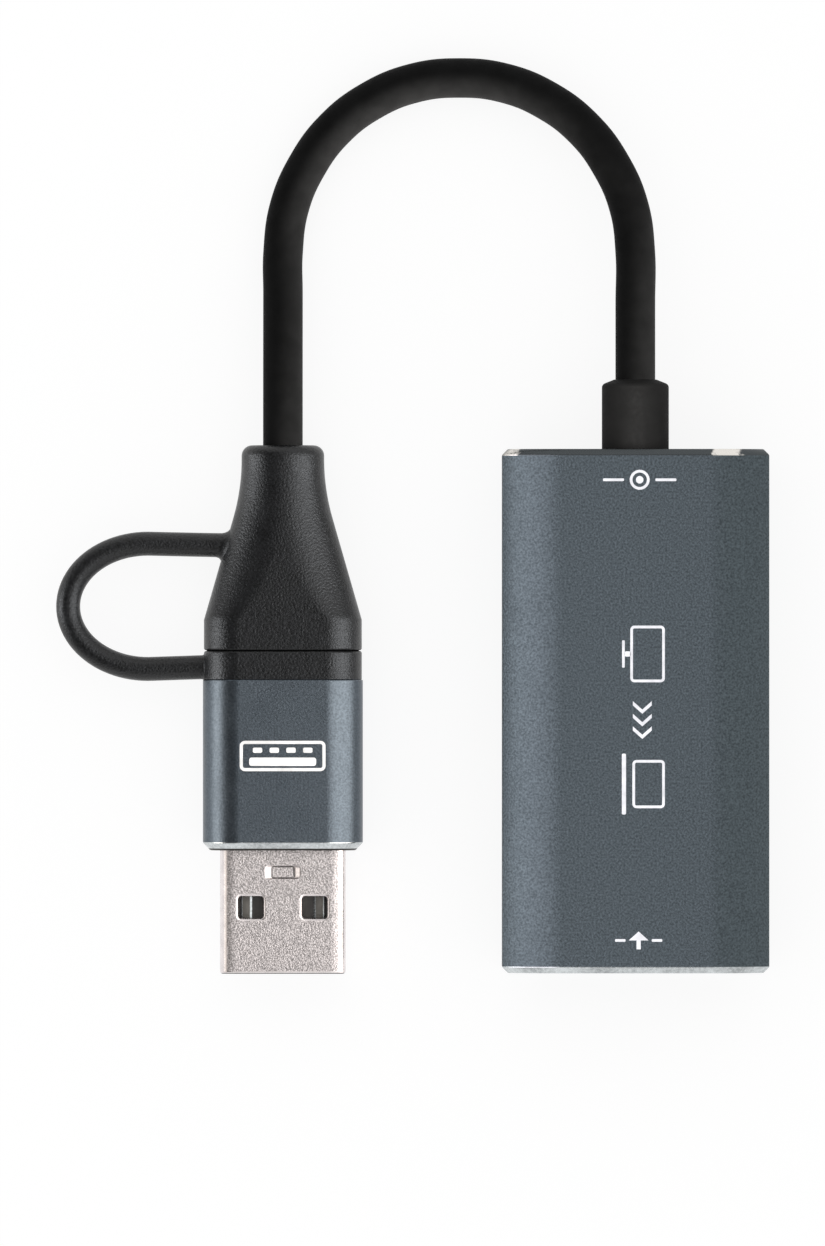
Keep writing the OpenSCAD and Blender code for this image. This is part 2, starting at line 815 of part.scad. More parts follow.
module video_contacts() {
    color("gold")
    for (i = [0:video_contacts_n - 1]) {
        x = (i - (video_contacts_n - 1) / 2) * video_pitch;
        high = i % 2 == 0;
        tip_z = (tongue_top_z + tongue_low_z) / 2;
        video_contact(x, high ? tongue_top_z : tongue_low_z, tip_z);
    }
}

module video_insulator() {
    color("#202020")
    difference() {
        union() {
            translate([0, 0, mid_z])
                along_y(video_rear_y - tongue_block_t, tongue_block_t)
                    polygon(video_outline(-inner_fit));
            block([-tongue_w / 2, tongue_y, tongue_low_z], [tongue_w / 2, video_rear_y, tongue_top_z]);
        }
        video_contacts();
    }
}

module capture_chip() {
    dot_d = 0.8;
    dot_in = 1.2;
    dot_depth = 0.1;
    color("#2a2a2c")
    difference() {
        block(
            [-chip_w / 2, chip_y - chip_w / 2, board_top],
            [chip_w / 2, chip_y + chip_w / 2, board_top + chip_h]
        );
        translate([-chip_w / 2 + dot_in, chip_y + chip_w / 2 - dot_in, board_top + chip_h - dot_depth])
            cylinder(d = dot_d, h = over);
    }
}

module thermal_pad() {
    color("lightblue")
    block(
        [-pad_w / 2, chip_y - pad_w / 2, case_wall],
        [pad_w / 2, chip_y + pad_w / 2, board_low]
    );
}

// Small package: a body raised on gull wing leads along both long sides
module gull_package(x, y, w, l, h, leads) {
    stand = 0.1;
    translate([x, y, board_top]) {
        block([-w / 2, -l / 2, stand], [w / 2, l / 2, h]);
        for (side = [-1, 1], i = [0:leads - 1])
            translate([0, (i - (leads - 1) / 2) * lead_pitch, 0])
                mirror([side < 0 ? 1 : 0, 0, 0]) {
                    block([w / 2, -lead_w / 2, h / 2], [w / 2 + lead_t, lead_w / 2, h / 2 + lead_t]);
                    block([w / 2 + lead_t, -lead_w / 2, 0], [w / 2 + 2 * lead_t, lead_w / 2, h / 2 + lead_t]);
                    block([w / 2 + 2 * lead_t, -lead_w / 2, 0], [w / 2 + lead_out, lead_w / 2, lead_t]);
                }
    }
}

module memory_chip() {
    x = -part_gap / 2 - lead_out - memory_w / 2;
    color("#2a2a2c") gull_package(x, memory_y, memory_w, memory_l, memory_h, 4);
}

module crystal() {
    rim = 0.25;
    color("silver")
    translate([(chip_w + crystal_l) / 2 + part_gap, crystal_y, board_top]) {
        block([-crystal_l / 2, -crystal_w / 2, 0], [crystal_l / 2, crystal_w / 2, crystal_h / 2]);
        block(
            [-crystal_l / 2 + rim, -crystal_w / 2 + rim, crystal_h / 2],
            [crystal_l / 2 - rim, crystal_w / 2 - rim, crystal_h]
        );
    }
}

module inductor() {
    foot_h = 0.2;
    foot_w = 1.2;
    color("#3a3a3c")
    translate([(chip_w + inductor_w + part_gap) / 2, inductor_y, board_top]) {
        block([-inductor_w / 2, -inductor_w / 2, foot_h], [inductor_w / 2, inductor_w / 2, inductor_h]);
        for (side = [-1, 1])
            translate([side * (inductor_w - foot_w) / 2, 0, 0])
                block([-foot_w / 2, -inductor_w / 2, 0], [foot_w / 2, inductor_w / 2, foot_h]);
    }
}

module voltage_regulator() {
    x = part_gap / 2 + lead_out + regulator_w / 2;
    color("#2a2a2c") gull_package(x, memory_y, regulator_w, regulator_l, regulator_h, 2);
}

// Two rows of chip capacitors, behind the video socket and before the wires
module chip_capacitors() {
    width = capacitor_l / 2;
    pitch = 1.8;
    color("tan")
    for (y = [near_row_y, far_row_y], i = [0:capacitors_n - 1])
        translate([(i - (capacitors_n - 1) / 2) * pitch, y, board_top])
            block([-width / 2, -capacitor_l / 2, 0], [width / 2, capacitor_l / 2, width]);
}

// Wires that fan out from the end of the cable to the board
module cable_wires() {
    count = wire_rows * wire_columns;
    land_y = board_end_y - wire_land;
    land_z = board_top + wire_d / 2 + inner_fit;
    color("firebrick")
    for (row = [0:wire_rows - 1], column = [0:wire_columns - 1]) {
        place = wire_rows * column + row;
        rod(
            [
                (column - (wire_columns - 1) / 2) * wire_step,
                cable_route[0].y - wire_end_gap,
                exit_z + (row - (wire_rows - 1) / 2) * wire_row_gap
            ],
            [(place - (count - 1) / 2) * wire_pitch, land_y, land_z],
            wire_d
        );
    }
}

// Strain relief: flange inside, neck through the end plate, collar outside
module strain_relief() {
    end_h = flange_t + plate_t + plate_recess + collar_l;
    color("#262626")
    translate([0, flange_y, exit_z])
        rotate([-90, 0, 0])
            rotate_extrude()
                polygon(rounded(
                    [
                        [cable_bore_r, 0],
                        [flange_d / 2, 0],
                        [flange_d / 2, flange_t],
                        [neck_d / 2, flange_t],
                        [neck_d / 2, flange_t + plate_t],
                        [collar_d / 2, flange_t + plate_t],
                        [collar_d / 2, end_h - collar_dome],
                        [cable_bore_r, end_h]
                    ],
                    [0, 0, 0, 0, 0, 0, collar_round, 0]
                ));
}

module cable() {
    color("#1e1e1e") tube(cable_route, cable_d, cable_sides);
}

// Soft moulded boot round the type C plug's core and the end of the cable
module plug_boot() {
    top_h = boot_l - boot_round;
    color("#303032")
    difference() {
        union() {
            skin(concat(
                [boot_ring(0, parting_round), boot_ring(parting_round, 0)],
                [for (i = [0:flare_rings])
                    boot_ring(boot_band_l + (top_h - boot_band_l) * i / flare_rings, 0)],
                [for (i = [1:round_rings])
                    let (a = 90 * i / round_rings)
                    boot_ring(top_h + boot_round * sin(a), boot_round * (1 - cos(a)))]
            ));
            translate([boot_root_x, tether_high_y, plug_z])
                rotate([0, 90, 0])
                    cylinder(d1 = tether_d, d2 = tether_root_d, h = tether_root_l + root_sink);
        }
        plug_slab(core_w, core_t, core_r, inner_fit, core_y, core_end_y + inner_fit, small_steps);
        plug_slab(c_w, c_t, c_r, inner_fit, plug_y - over, core_y + over);
        translate([plug_x, core_y, plug_z])
            rotate([-90, 0, 0])
                cylinder(r = cable_bore_r, h = boot_l);
    }
}

// Firm core that holds the plug's shell, its board and the end of the cable
module plug_core() {
    color("gainsboro")
    difference() {
        plug_slab(core_w, core_t, core_r, 0, core_y, core_end_y, small_steps);
        plug_slab(c_w, c_t, c_r, inner_fit, core_y - over, c_rear_y);
        translate([plug_x, 0, plug_z])
            block(
                [
                    -plug_board_w / 2 - inner_fit,
                    c_rear_y - inner_fit,
                    -c_contact_z - c_contact_t - inner_fit
                ],
                [
                    plug_board_w / 2 + inner_fit,
                    plug_board_end_y + inner_fit,
                    c_contact_z + c_contact_t + inner_fit
                ]
            );
        translate([plug_x, plug_board_end_y, plug_z])
            rotate([-90, 0, 0])
                cylinder(r = cable_bore_r, h = core_l);
    }
}

module plug_board() {
    color("darkgreen")
    translate([plug_x, 0, plug_z])
        block(
            [-plug_board_w / 2, c_rear_y, -c_contact_z],
            [plug_board_w / 2, plug_board_end_y, c_contact_z]
        );
}

module type_c_shell() {
    color("silver")
    difference() {
        plug_slab(c_w, c_t, c_r, 0, c_tip_y, c_rear_y);
        plug_slab(c_w, c_t, c_r, -c_wall, c_tip_y - over, c_rear_y + over);
    }
}

// Contacts of the type C plug, on both faces of the slot and of the board behind it
module type_c_contacts() {
    color("gold")
    for (face = [-1, 1], i = [0:c_contacts_n - 1])
        translate([
            plug_x + (i - (c_contacts_n - 1) / 2) * c_pitch,
            0,
            plug_z + face * (c_contact_z + c_contact_t / 2)
        ])
            block(
                [-c_contact_w / 2, c_contact_y, -c_contact_t / 2],
                [c_contact_w / 2, c_contact_end_y, c_contact_t / 2]
            );
}

module type_c_insulator() {
    color("#202020")
    difference() {
        plug_slab(c_w, c_t, c_r, -c_wall - inner_fit, c_tip_y + c_face, c_rear_y);
        translate([plug_x, 0, plug_z])
            block(
                [-c_slot_w / 2, c_tip_y - over, -c_slot_t / 2],
                [c_slot_w / 2, c_tip_y + c_slot_l, c_slot_t / 2]
            );
        type_c_contacts();
    }
}

module tether() {
    color("#303032") tube(tether_route, tether_d, tether_sides);
}

// Soft ring round the mouth of the adapter, with the tether's lug
module adapter_ring() {
    color("#303032")
    difference() {
        union() {
            skin([
                ring_at(slab_outline(band_w, band_t, band_r), ring_y, plug_x, plug_z),
                ring_at(slab_outline(band_w, band_t, band_r), ring_top_y - parting_round, plug_x, plug_z),
                ring_at(slab_outline(band_w, band_t, band_r, -parting_round), ring_top_y, plug_x, plug_z)
            ]);
            plug_slab(
                adapter_w, adapter_t, adapter_r, -adapter_wall - inner_fit,
                spigot_y, ring_y + root_sink
            );
            translate([ring_lug_x, tether_low_y, plug_z])
                rotate([0, 90, 0])
                    cylinder(d = tether_d, h = ring_lug_l + root_sink);
        }
        plug_slab(socket_w, socket_t, socket_r, socket_wall + inner_fit, spigot_y - over, ring_top_y + over);
    }
}

module adapter_shell() {
    color("slategray")
    difference() {
        skin([
            ring_at(slab_outline(adapter_w, adapter_t, adapter_r, -adapter_bevel), adapter_y, plug_x, plug_z),
            ring_at(slab_outline(adapter_w, adapter_t, adapter_r), adapter_y + adapter_bevel, plug_x, plug_z),
            ring_at(slab_outline(adapter_w, adapter_t, adapter_r), ring_y, plug_x, plug_z)
        ]);
        plug_slab(adapter_w, adapter_t, adapter_r, -adapter_wall, adapter_y - over, ring_y + over);
    }
}

// Moulded core that fills the adapter round its two connectors and its board
module adapter_core() {
    color("#242426")
    difference() {
        plug_slab(adapter_w, adapter_t, adapter_r, -adapter_wall - inner_fit, adapter_core_y, spigot_y);
        plug_slab(a_w, a_t, a_r, inner_fit, adapter_y - over, a_rear_y + inner_fit);
        translate([plug_x, 0, 0])
            block(
                [-link_board_w / 2 - inner_fit, a_rear_y - over, a_tongue_z - link_board_t - inner_fit],
                [
                    link_board_w / 2 + inner_fit,
                    socket_rear_y + over,
                    a_tongue_z + a_contact_t + inner_fit
                ]
            );
        plug_slab(
            socket_w, socket_t, socket_r, socket_wall + inner_fit,
            socket_rear_y - inner_fit, spigot_y + over
        );
    }
}

module adapter_board() {
    color("darkgreen")
    translate([plug_x, 0, 0])
        block(
            [-link_board_w / 2, a_rear_y, a_tongue_z - link_board_t],
            [link_board_w / 2, socket_rear_y, a_tongue_z]
        );
}

module socket_shell() {
    color("silver")
    difference() {
        plug_slab(socket_w, socket_t, socket_r, socket_wall, socket_rear_y, socket_mouth_y);
        plug_slab(socket_w, socket_t, socket_r, 0, socket_rear_y - over, socket_mouth_y + over);
    }
}

// Contacts of the type C socket, level with both faces of its tongue
module socket_contacts() {
    color("gold")
    for (face = [-1, 1], i = [0:c_contacts_n - 1])
        translate([
            plug_x + (i - (c_contacts_n - 1) / 2) * c_pitch,
            socket_floor_y,
            plug_z + face * (socket_tongue_t - socket_contact_t) / 2
        ])
            block(
                [-c_contact_w / 2, 0, -socket_contact_t / 2],
                [c_contact_w / 2, socket_contact_l, socket_contact_t / 2]
            );
}

module socket_insulator() {
    color("#202020")
    difference() {
        union() {
            plug_slab(socket_w, socket_t, socket_r, -inner_fit, socket_rear_y, socket_floor_y);
            translate([plug_x, 0, plug_z])
                block(
                    [-socket_tongue_w / 2, socket_rear_y, -socket_tongue_t / 2],
                    [socket_tongue_w / 2, socket_floor_y + socket_tongue_l, socket_tongue_t / 2]
                );
        }
        socket_contacts();
    }
}

// Latch window through one face of the type A shell
module latch_window(x, z) {
    translate([plug_x + x, a_tip_y + window_y, z - over])
        linear_extrude(2 * over)
            polygon(slab_outline(window_w, window_l, window_r, 0, small_steps));
}

// Bridge pressed into the upper face of the type A shell
module bridge() {
    top_z = a_t / 2;
    slope = 0.55;
    reach = bridge_l / 2;
    sink = 0.15;
    translate([plug_x, 0, plug_z])
        along_y(adapter_y - bridge_y - bridge_w / 2, bridge_w)
            polygon([
                [-reach - sink, top_z],
                [-reach, top_z],
                [-reach + slope, top_z - bridge_dip],
                [reach - slope, top_z - bridge_dip],
                [reach, top_z],
                [reach + sink, top_z],
                [reach + sink, top_z - a_wall],
                [reach, top_z - a_wall],
                [reach - slope, top_z - bridge_dip - a_wall],
                [-reach + slope, top_z - bridge_dip - a_wall],
                [-reach, top_z - a_wall],
                [-reach - sink, top_z - a_wall]
            ]);
}

module type_a_shell() {
    slit = 0.08;
    color("silver") {
        difference() {
            plug_slab(a_w, a_t, a_r, 0, a_tip_y, a_rear_y, small_steps);
            plug_slab(a_w, a_t, a_r, -a_wall, a_tip_y - over, a_rear_y + over, small_steps);
            for (side = [-1, 1], face = [-1, 1])
                latch_window(side * window_x, plug_z + face * (a_t - a_wall) / 2);
            translate([plug_x, adapter_y - bridge_y, plug_z + a_t / 2])
                block(
                    [-bridge_l / 2, -bridge_w / 2 - slit, -over],
                    [bridge_l / 2, bridge_w / 2 + slit, over]
                );
        }
        bridge();
    }
}

// Four contacts on the insulator, with tails on the adapter's board
module type_a_contacts() {
    color("gold")
    for (side = [-1, 1], place = [[a_inner_x, a_inner_y], [a_outer_x, a_outer_y]])
        translate([plug_x + side * place.x, 0, a_tongue_z])
            block(
                [-a_contact_w / 2, a_tip_y + place.y, 0],
                [a_contact_w / 2, a_rear_y + a_contact_tail, a_contact_t]
            );
}

module type_a_insulator() {
    half_w = a_w / 2 - a_wall - inner_fit;
    low_z = plug_z - a_t / 2 + a_wall;
    color("#26282c")
    difference() {
        intersection() {
            plug_slab(a_w, a_t, a_r, -a_wall - inner_fit, a_tip_y + a_setback, a_rear_y, small_steps);
            translate([plug_x, 0, 0]) {
                block([-half_w, a_tip_y, low_z], [half_w, a_rear_y, a_tongue_z]);
                block([-half_w, a_tip_y + a_hollow_l, low_z], [half_w, a_rear_y, low_z + a_t]);
            }
        }
        type_a_contacts();
    }
}

case_sleeve();
input_plate();
lead_plate();
main_board();
video_shell();
video_insulator();
video_contacts();
capture_chip();
thermal_pad();
memory_chip();
crystal();
inductor();
voltage_regulator();
chip_capacitors();
cable_wires();
strain_relief();
cable();
plug_boot();
plug_core();
plug_board();
type_c_shell();
type_c_insulator();
type_c_contacts();
tether();
adapter_ring();
adapter_shell();
adapter_core();
adapter_board();
socket_shell();
socket_insulator();
socket_contacts();
type_a_shell();
type_a_insulator();
type_a_contacts();
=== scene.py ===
"""Looks of a pocket video capture box, dressed round its CAD model, in metres."""

import math

import bmesh
import bpy
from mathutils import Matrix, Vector
from mathutils.geometry import tessellate_polygon

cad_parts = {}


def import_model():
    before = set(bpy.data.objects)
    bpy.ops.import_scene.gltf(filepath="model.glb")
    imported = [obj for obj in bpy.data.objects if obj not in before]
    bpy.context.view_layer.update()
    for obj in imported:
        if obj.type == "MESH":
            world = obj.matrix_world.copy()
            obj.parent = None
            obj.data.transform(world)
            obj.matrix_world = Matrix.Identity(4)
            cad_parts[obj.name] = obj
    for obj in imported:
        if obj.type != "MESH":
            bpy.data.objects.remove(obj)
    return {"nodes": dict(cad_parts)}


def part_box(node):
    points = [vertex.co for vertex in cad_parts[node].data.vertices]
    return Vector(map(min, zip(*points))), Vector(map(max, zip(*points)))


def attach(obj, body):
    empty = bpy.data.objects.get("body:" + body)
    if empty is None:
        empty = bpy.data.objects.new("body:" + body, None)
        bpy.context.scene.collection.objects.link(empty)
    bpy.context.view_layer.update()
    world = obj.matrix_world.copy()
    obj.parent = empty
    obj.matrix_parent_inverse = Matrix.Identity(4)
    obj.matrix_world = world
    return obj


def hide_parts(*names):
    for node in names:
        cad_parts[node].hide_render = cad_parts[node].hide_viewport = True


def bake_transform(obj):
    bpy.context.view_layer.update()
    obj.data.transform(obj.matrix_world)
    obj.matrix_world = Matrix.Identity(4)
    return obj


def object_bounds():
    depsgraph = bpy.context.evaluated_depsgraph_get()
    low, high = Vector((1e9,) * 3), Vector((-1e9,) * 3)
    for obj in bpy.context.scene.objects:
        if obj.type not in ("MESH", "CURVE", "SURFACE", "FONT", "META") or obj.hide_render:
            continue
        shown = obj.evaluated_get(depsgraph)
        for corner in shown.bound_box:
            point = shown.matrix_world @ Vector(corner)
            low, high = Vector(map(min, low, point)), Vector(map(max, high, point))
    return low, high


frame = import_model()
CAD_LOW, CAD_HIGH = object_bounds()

MM = 0.001
BOX = "capture_box"
ADAPTER = "adapter"

# View: the photograph is 825 x 1246 pixels and is taken straight from above
VIEW_CENTRE = Vector((-21.3, 8.4, 6)) * MM
VIEW_HEIGHT = 119.1 * MM
LENS = 600
SENSOR = 36
CLIP_SHARE = 100

# Case; GLINT_STRETCHES gives places along X in millimetres and how far painted reflection lightens
# the lead end's bevel there, a bevel otherwise painted in shade
CASE_FLAT_W = 13.6 * MM
CASE_SIDE_H = 6.9 * MM
CASE_WALL = 0.8 * MM
CASE_BEVEL = 0.55 * MM
CASE_EDGE_R = 0.3 * MM
GLINT_STRETCHES = [(-11.5, 0.9), (-11.1, 0), (7.2, 0), (7.6, 1), (9.7, 1), (10.1, 0)]
CASE_INNER_R = 1.5 * MM
SHOULDER_REST = 0.1 * MM

# Video socket, from its opening, and the springs and legs of its shell
VIDEO_W = 14 * MM
VIDEO_H = 4.55 * MM
VIDEO_LOW_W = 9.4 * MM
VIDEO_SIDE_H = 2.6 * MM
VIDEO_SHOULDER_W = 1.3 * MM
VIDEO_LOW_R = 0.5 * MM
VIDEO_SHOULDER_R = 0.75 * MM
VIDEO_SIDE_R = 0.35 * MM
VIDEO_WALL = 0.35 * MM
VIDEO_RIM = 0.28 * MM
VIDEO_RIM_STEPS = 8
BEZEL_W = 0.665 * MM
BEZEL_L = 0.5 * MM
BEZEL_SET = 0.03 * MM
SPRING_W = 1.6 * MM
SPRING_Y = 2.6 * MM
SPRING_START = 0.3 * MM
SPRING_L = 4.6 * MM
SPRING_DIP = 0.4 * MM
SPRING_HIGH_X = 3.9 * MM
SPRING_LOW_X = 3.1 * MM
LEG_L = 1.4 * MM
LEG_PLACES = (4 * MM, 9.2 * MM)

# Lead
CABLE_D = 3.8 * MM
CABLE_ROUTE = [
    (0, 20.5, 6), (0, 24, 6), (0, 28, 6), (0, 31.8, 6), (0, 35, 6), (0, 39, 5.9),
    (0, 43.8, 5.6), (-0.6, 48.2, 5), (-2.3, 52.2, 4.4), (-4.9, 55.7, 3.6),
    (-8.4, 58.4, 3), (-12.5, 60.1, 2.4), (-16.8, 60.6, 2.1), (-21.2, 60.1, 2),
    (-25.3, 58.4, 2), (-28.8, 55.7, 2), (-31.4, 52.2, 2), (-33.1, 48.2, 2),
    (-33.7, 43.8, 2.1), (-33.7, 40, 2.6), (-33.7, 36, 3.3), (-33.7, 32, 3.8),
    (-33.7, 28.6, 4), (-33.7, 25.4, 4), (-33.7, 21, 4), (-33.7, 15.4, 4),
]
COLLAR_D = 6.4 * MM
COLLAR_ROUND = 0.45 * MM
COLLAR_DOME = 0.5 * MM
NECK_D = 5.4 * MM
FLANGE_T = 1.5 * MM
PLATE_T = 2 * MM

# Plug and adapter
BOOT_NECK_W = 7.9 * MM
BOOT_NECK_T = 7 * MM
BOOT_NECK_FLAT = 0.2 * MM
BOOT_BAND_L = 2.9 * MM
BOOT_ROUND = 1 * MM
FLARE_START = 0.08
FLARE_END = 0.42
PARTING_ROUND = 0.2 * MM
PARTING_STEP = 0.085 * MM
PARTING_STEP_IN = 0.06 * MM
CORE_WALL = 1.2 * MM
BAND_R = 3.4 * MM
ADAPTER_R = 3.5 * MM
ADAPTER_WALL = 0.8 * MM
ADAPTER_BEVEL = 0.7 * MM
# Width of the painted shadow line at the foot of the adapter's bevel
ADAPTER_LINE = 0.18 * MM
RING_L = 2.75 * MM
FIT = 0.05 * MM
MOUTH_FIT = 9 * FIT

# Strips of the boot that take the seam's colour, and of the ring that don't
SEAM_STRIPS = 4
RING_STRIPS = 5

# Tether
TETHER_D = 2.3 * MM
TETHER_ROOT_H = 10.05 * MM
TETHER_REACH = 12.9 * MM
TETHER_BOW = 7.65 * MM
RING_LUG_H = 1.2 * MM
TETHER_LIFT = 0.14 * MM
TETHER_DROP = 0.17 * MM
TETHER_SIDES = 32
ROOT_FILLET = 0.75 * MM
LUG_FILLET = 0.25 * MM
ROOT_SINK = 0.12 * MM

# Type A plug
A_ROLL_W = 0.66 * MM
A_BEND_W = 0.75 * MM
A_BEND_TURN = math.radians(14)
A_BEND_STEPS = 5
A_TIP_R = 0.25 * MM
A_WALL = 0.3 * MM
WINDOW_W = 2.4 * MM
WINDOW_L = 2.1 * MM
WINDOW_R = 0.3 * MM
WINDOW_X = 3.05 * MM
WINDOW_Y = 6.35 * MM
WINDOW_RIM = 0.24 * MM
BRIDGE_L = 3.5 * MM
BRIDGE_W = 1.3 * MM
BRIDGE_R = 0.42 * MM
BRIDGE_FLOOR_L = 2.2 * MM
BRIDGE_FLOOR_W = 1.14 * MM
BRIDGE_FLOOR_R = 0.15 * MM
BRIDGE_DEPTH = 0.26 * MM
BRIDGE_Y = 2.1 * MM
BRIDGE_SLIT = 0.1 * MM
CONTACT_W = 1.1 * MM
CONTACT_EDGE = 0.2 * MM
CONTACT_PLACES = [(1 * MM, 2.1 * MM), (3.5 * MM, 1.1 * MM)]
SHEET_MARGIN = 0.04 * MM

# Finish of each strip of the type A shell, from inside its tip round to its inside:
# plain 0, lighter copy as painted highlight 1, or near-black copy as painted shade 2
A_FINISHES = [0, 2, 2, 2, 1, 1, 0, 0, 0]

# Print: how far it is sunk and how far it rises, the rounding of a bar's ends, where the
# marks are, and some of their measures; marks are drawn in millimetres round their middles
PRINT_SINK = 0.01 * MM
PRINT_RISE = 0.012 * MM
BAR_ROUND = 0.3
PRINT_PLACES = [(0.35 * MM, 22.05 * MM), (0.6 * MM, -0.75 * MM), (0.25 * MM, -21.85 * MM)]
PLUG_PRINT_Y = -4.3 * MM
PRINT_LINE = 0.26
MARK_R = 0.95
MARK_SIDES = 40
DOT_R = 0.36
DOT_SIDES = 24
ARROW = [(0, 0.85), (0.95, 0), (0.2, 0), (0.2, -0.85), (-0.2, -0.85), (-0.2, 0), (-0.95, 0)]

# Light: level that plain surfaces get from all round, levels that gloss shows from
# left to right, where these turn white towards both ends, and how far away the lamps are
FILL = 0.65
GLOSS_SKY = [(-1, 0.9), (-0.92, 0.85), (-0.75, 0.1), (-0.08, 0.08), (0.16, 0.95), (1, 1)]
GLOSS_RIM = (0.55, 0.9)
LAMP_REACH = 0.5

# Floor: half its side, the shade that shows shadows, and the share of light it throws back
FLOOR_HALF = 3
FLOOR_SHADE = 0.2
FLOOR_BOUNCE = 0.8

# Fineness: points along rounded corners, round outlines and long pieces, small edge
# breaks, welding distance, and the angles in degrees from which an edge stays sharp
ARC = 14
NECK_ARC = 8
FINE_ARC = 6
RING_ARC = 5
SMALL_ARC = 4
COLLAR_SIDES = 96
BORE_SIDES = 48
CABLE_STEPS = 10
BOOT_STATIONS = 36
TETHER_RUN = 6
TETHER_TURNS = 48
ROOT_STEPS = 7
LUG_STEPS = 4
BRIDGE_STEPS = 8
SHARP = 35
STRIP_SHARP = 15
EDGE = 0.07 * MM
BREAK_45 = EDGE * math.sqrt(0.5)
LEAST_R = 0.02 * MM
WELD = 0.0005 * MM

# Places taken from the frame
CASE_LOW, CASE_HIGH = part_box("case_sleeve")
CASE_MID = (CASE_LOW + CASE_HIGH) / 2
CASE_SIZE = CASE_HIGH - CASE_LOW
COLLAR_LOW, COLLAR_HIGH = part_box("strain_relief")
BOOT_LOW, BOOT_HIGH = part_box("plug_boot")
RING_LOW, RING_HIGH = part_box("adapter_ring")
SHELL_LOW, SHELL_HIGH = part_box("adapter_shell")
SHELL_MID = (SHELL_LOW + SHELL_HIGH) / 2
SHELL_SIZE = SHELL_HIGH - SHELL_LOW
A_LOW, A_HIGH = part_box("type_a_shell")
A_SIZE = A_HIGH - A_LOW
C_LOW, C_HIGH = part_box("type_c_shell")
C_SIZE = C_HIGH - C_LOW
PLUG_X, PLUG_Z = SHELL_MID.x, SHELL_MID.z
BAND_W = 2 * (BOOT_HIGH.x - PLUG_X)
BAND_T = BOOT_HIGH.z - BOOT_LOW.z
BOOT_L = BOOT_HIGH.y - BOOT_LOW.y
RING_TOP = RING_HIGH.y
RING_BASE = RING_TOP - RING_L
TETHER_HIGH_Y = BOOT_LOW.y + TETHER_ROOT_H
TETHER_LOW_Y = RING_BASE + RING_LUG_H


def flat(x, y):
    """Point of an outline."""
    return Vector((x, y))


def corner_arc(before, corner, after, radius, steps):
    """Points of the arc that rounds a corner of an outline."""
    u = (before - corner).normalized()
    v = (after - corner).normalized()
    half = u.angle(v) / 2
    centre = corner + (u + v).normalized() * (radius / math.sin(half))
    start = corner + u * (radius / math.tan(half)) - centre
    end = corner + v * (radius / math.tan(half)) - centre
    first = math.atan2(start.y, start.x)
    sweep = (math.atan2(end.y, end.x) - first + 3 * math.pi) % (2 * math.pi) - math.pi
    angles = [first + sweep * i / steps for i in range(steps + 1)]
    return [centre + radius * flat(math.cos(a), math.sin(a)) for a in angles]


def rounded(corners, radii, steps):
    """Closed outline with each corner rounded."""
    points = []
    for i, corner in enumerate(corners):
        after = corners[(i + 1) % len(corners)]
        points += corner_arc(corners[i - 1], corner, after, radii[i], steps)
    return points


def grown(corners, distance):
    """Anticlockwise corners with each edge moved outward."""
    points = []
    for i, corner in enumerate(corners):
        e = (corner - corners[i - 1]).normalized()
        f = (corners[(i + 1) % len(corners)] - corner).normalized()
        n, m = flat(e.y, -e.x), flat(f.y, -f.x)
        points.append(corner + (n + m) * (distance / (1 + n.dot(m))))
    return points


def slab(width, thick, radius, grow=0.0, steps=ARC):
    """Rounded slab outline, grown all round."""
    x, y = width / 2 + grow, thick / 2 + grow
    corners = [flat(x, -y), flat(x, y), flat(-x, y), flat(-x, -y)]
    return rounded(corners, [max(radius + grow, LEAST_R)] * 4, steps)


def oval_slab(width, thick, reach, rise, inset):
    """Slab outline with quarter ellipses as its corners, drawn in all round."""
    points = []
    for turn, (x, y) in enumerate(((1, -1), (1, 1), (-1, 1), (-1, -1))):
        centre = flat(x * (width / 2 - reach), y * (thick / 2 - rise))
        for i in range(ARC + 1):
            a = (turn - 1 + i / ARC) * math.pi / 2
            out = flat((reach - inset) * math.cos(a), (rise - inset) * math.sin(a))
            points.append(centre + out)
    return points


def circle(radius, steps):
    """Round outline."""
    angles = [2 * math.pi * i / steps for i in range(steps)]
    return [radius * flat(math.cos(a), math.sin(a)) for a in angles]


def case_outline(inset, edge_r):
    """Section of the case, drawn in by inset."""
    half_w, half_t = CASE_SIZE.x / 2, CASE_SIZE.z / 2
    half_side = CASE_SIDE_H / 2
    dx, dz = half_w - CASE_FLAT_W / 2, half_t - half_side
    turn = 2 * math.atan(dz / dx)
    shoulder_x = CASE_FLAT_W / 2 + (dx**2 + dz**2) / (2 * dx)
    corners = [
        flat(half_w, -half_side), flat(half_w, half_side),
        flat(shoulder_x, half_t), flat(-shoulder_x, half_t),
        flat(-half_w, half_side), flat(-half_w, -half_side),
        flat(-shoulder_x, -half_t), flat(shoulder_x, -half_t),
    ]
    corners = grown(corners, -inset)
    run = (corners[2] - corners[1]).length - SHOULDER_REST
    edge_turn = math.pi / 2 - turn
    shoulder_r = (run - edge_r * math.tan(edge_turn / 2)) / math.tan(turn / 2)
    radii = [edge_r, edge_r, shoulder_r, shoulder_r] * 2
    return rounded(corners, radii, ARC)


def ring_y(outline, y, x, z):
    """Outline placed across Y."""
    return [Vector((x + p.x, y, z + p.y)) for p in outline]


def skin(bm, rings, closed=False, skip=(), finish=None):
    """Faces between rings of equal count; finish gives a material to each strip."""
    rows = [[bm.verts.new(p) for p in ring] for ring in rings]
    strips = list(zip(rows, rows[1:]))
    if closed:
        strips.append((rows[-1], rows[0]))
    for j, (low, high) in enumerate(strips):
        for i in range(len(low)):
            if (j, i) in skip:
                continue
            k = (i + 1) % len(low)
            face = bm.faces.new((low[i], low[k], high[k], high[i]))
            face.material_index = finish[j] if finish else 0


def panel(bm, loops, place):
    """Flat face: the first loop is its edge and the others are holes in it."""
    verts = [bm.verts.new(place(p)) for loop in loops for p in loop]
    for triangle in tessellate_polygon([[p.to_3d() for p in loop] for loop in loops]):
        bm.faces.new([verts[i] for i in triangle])


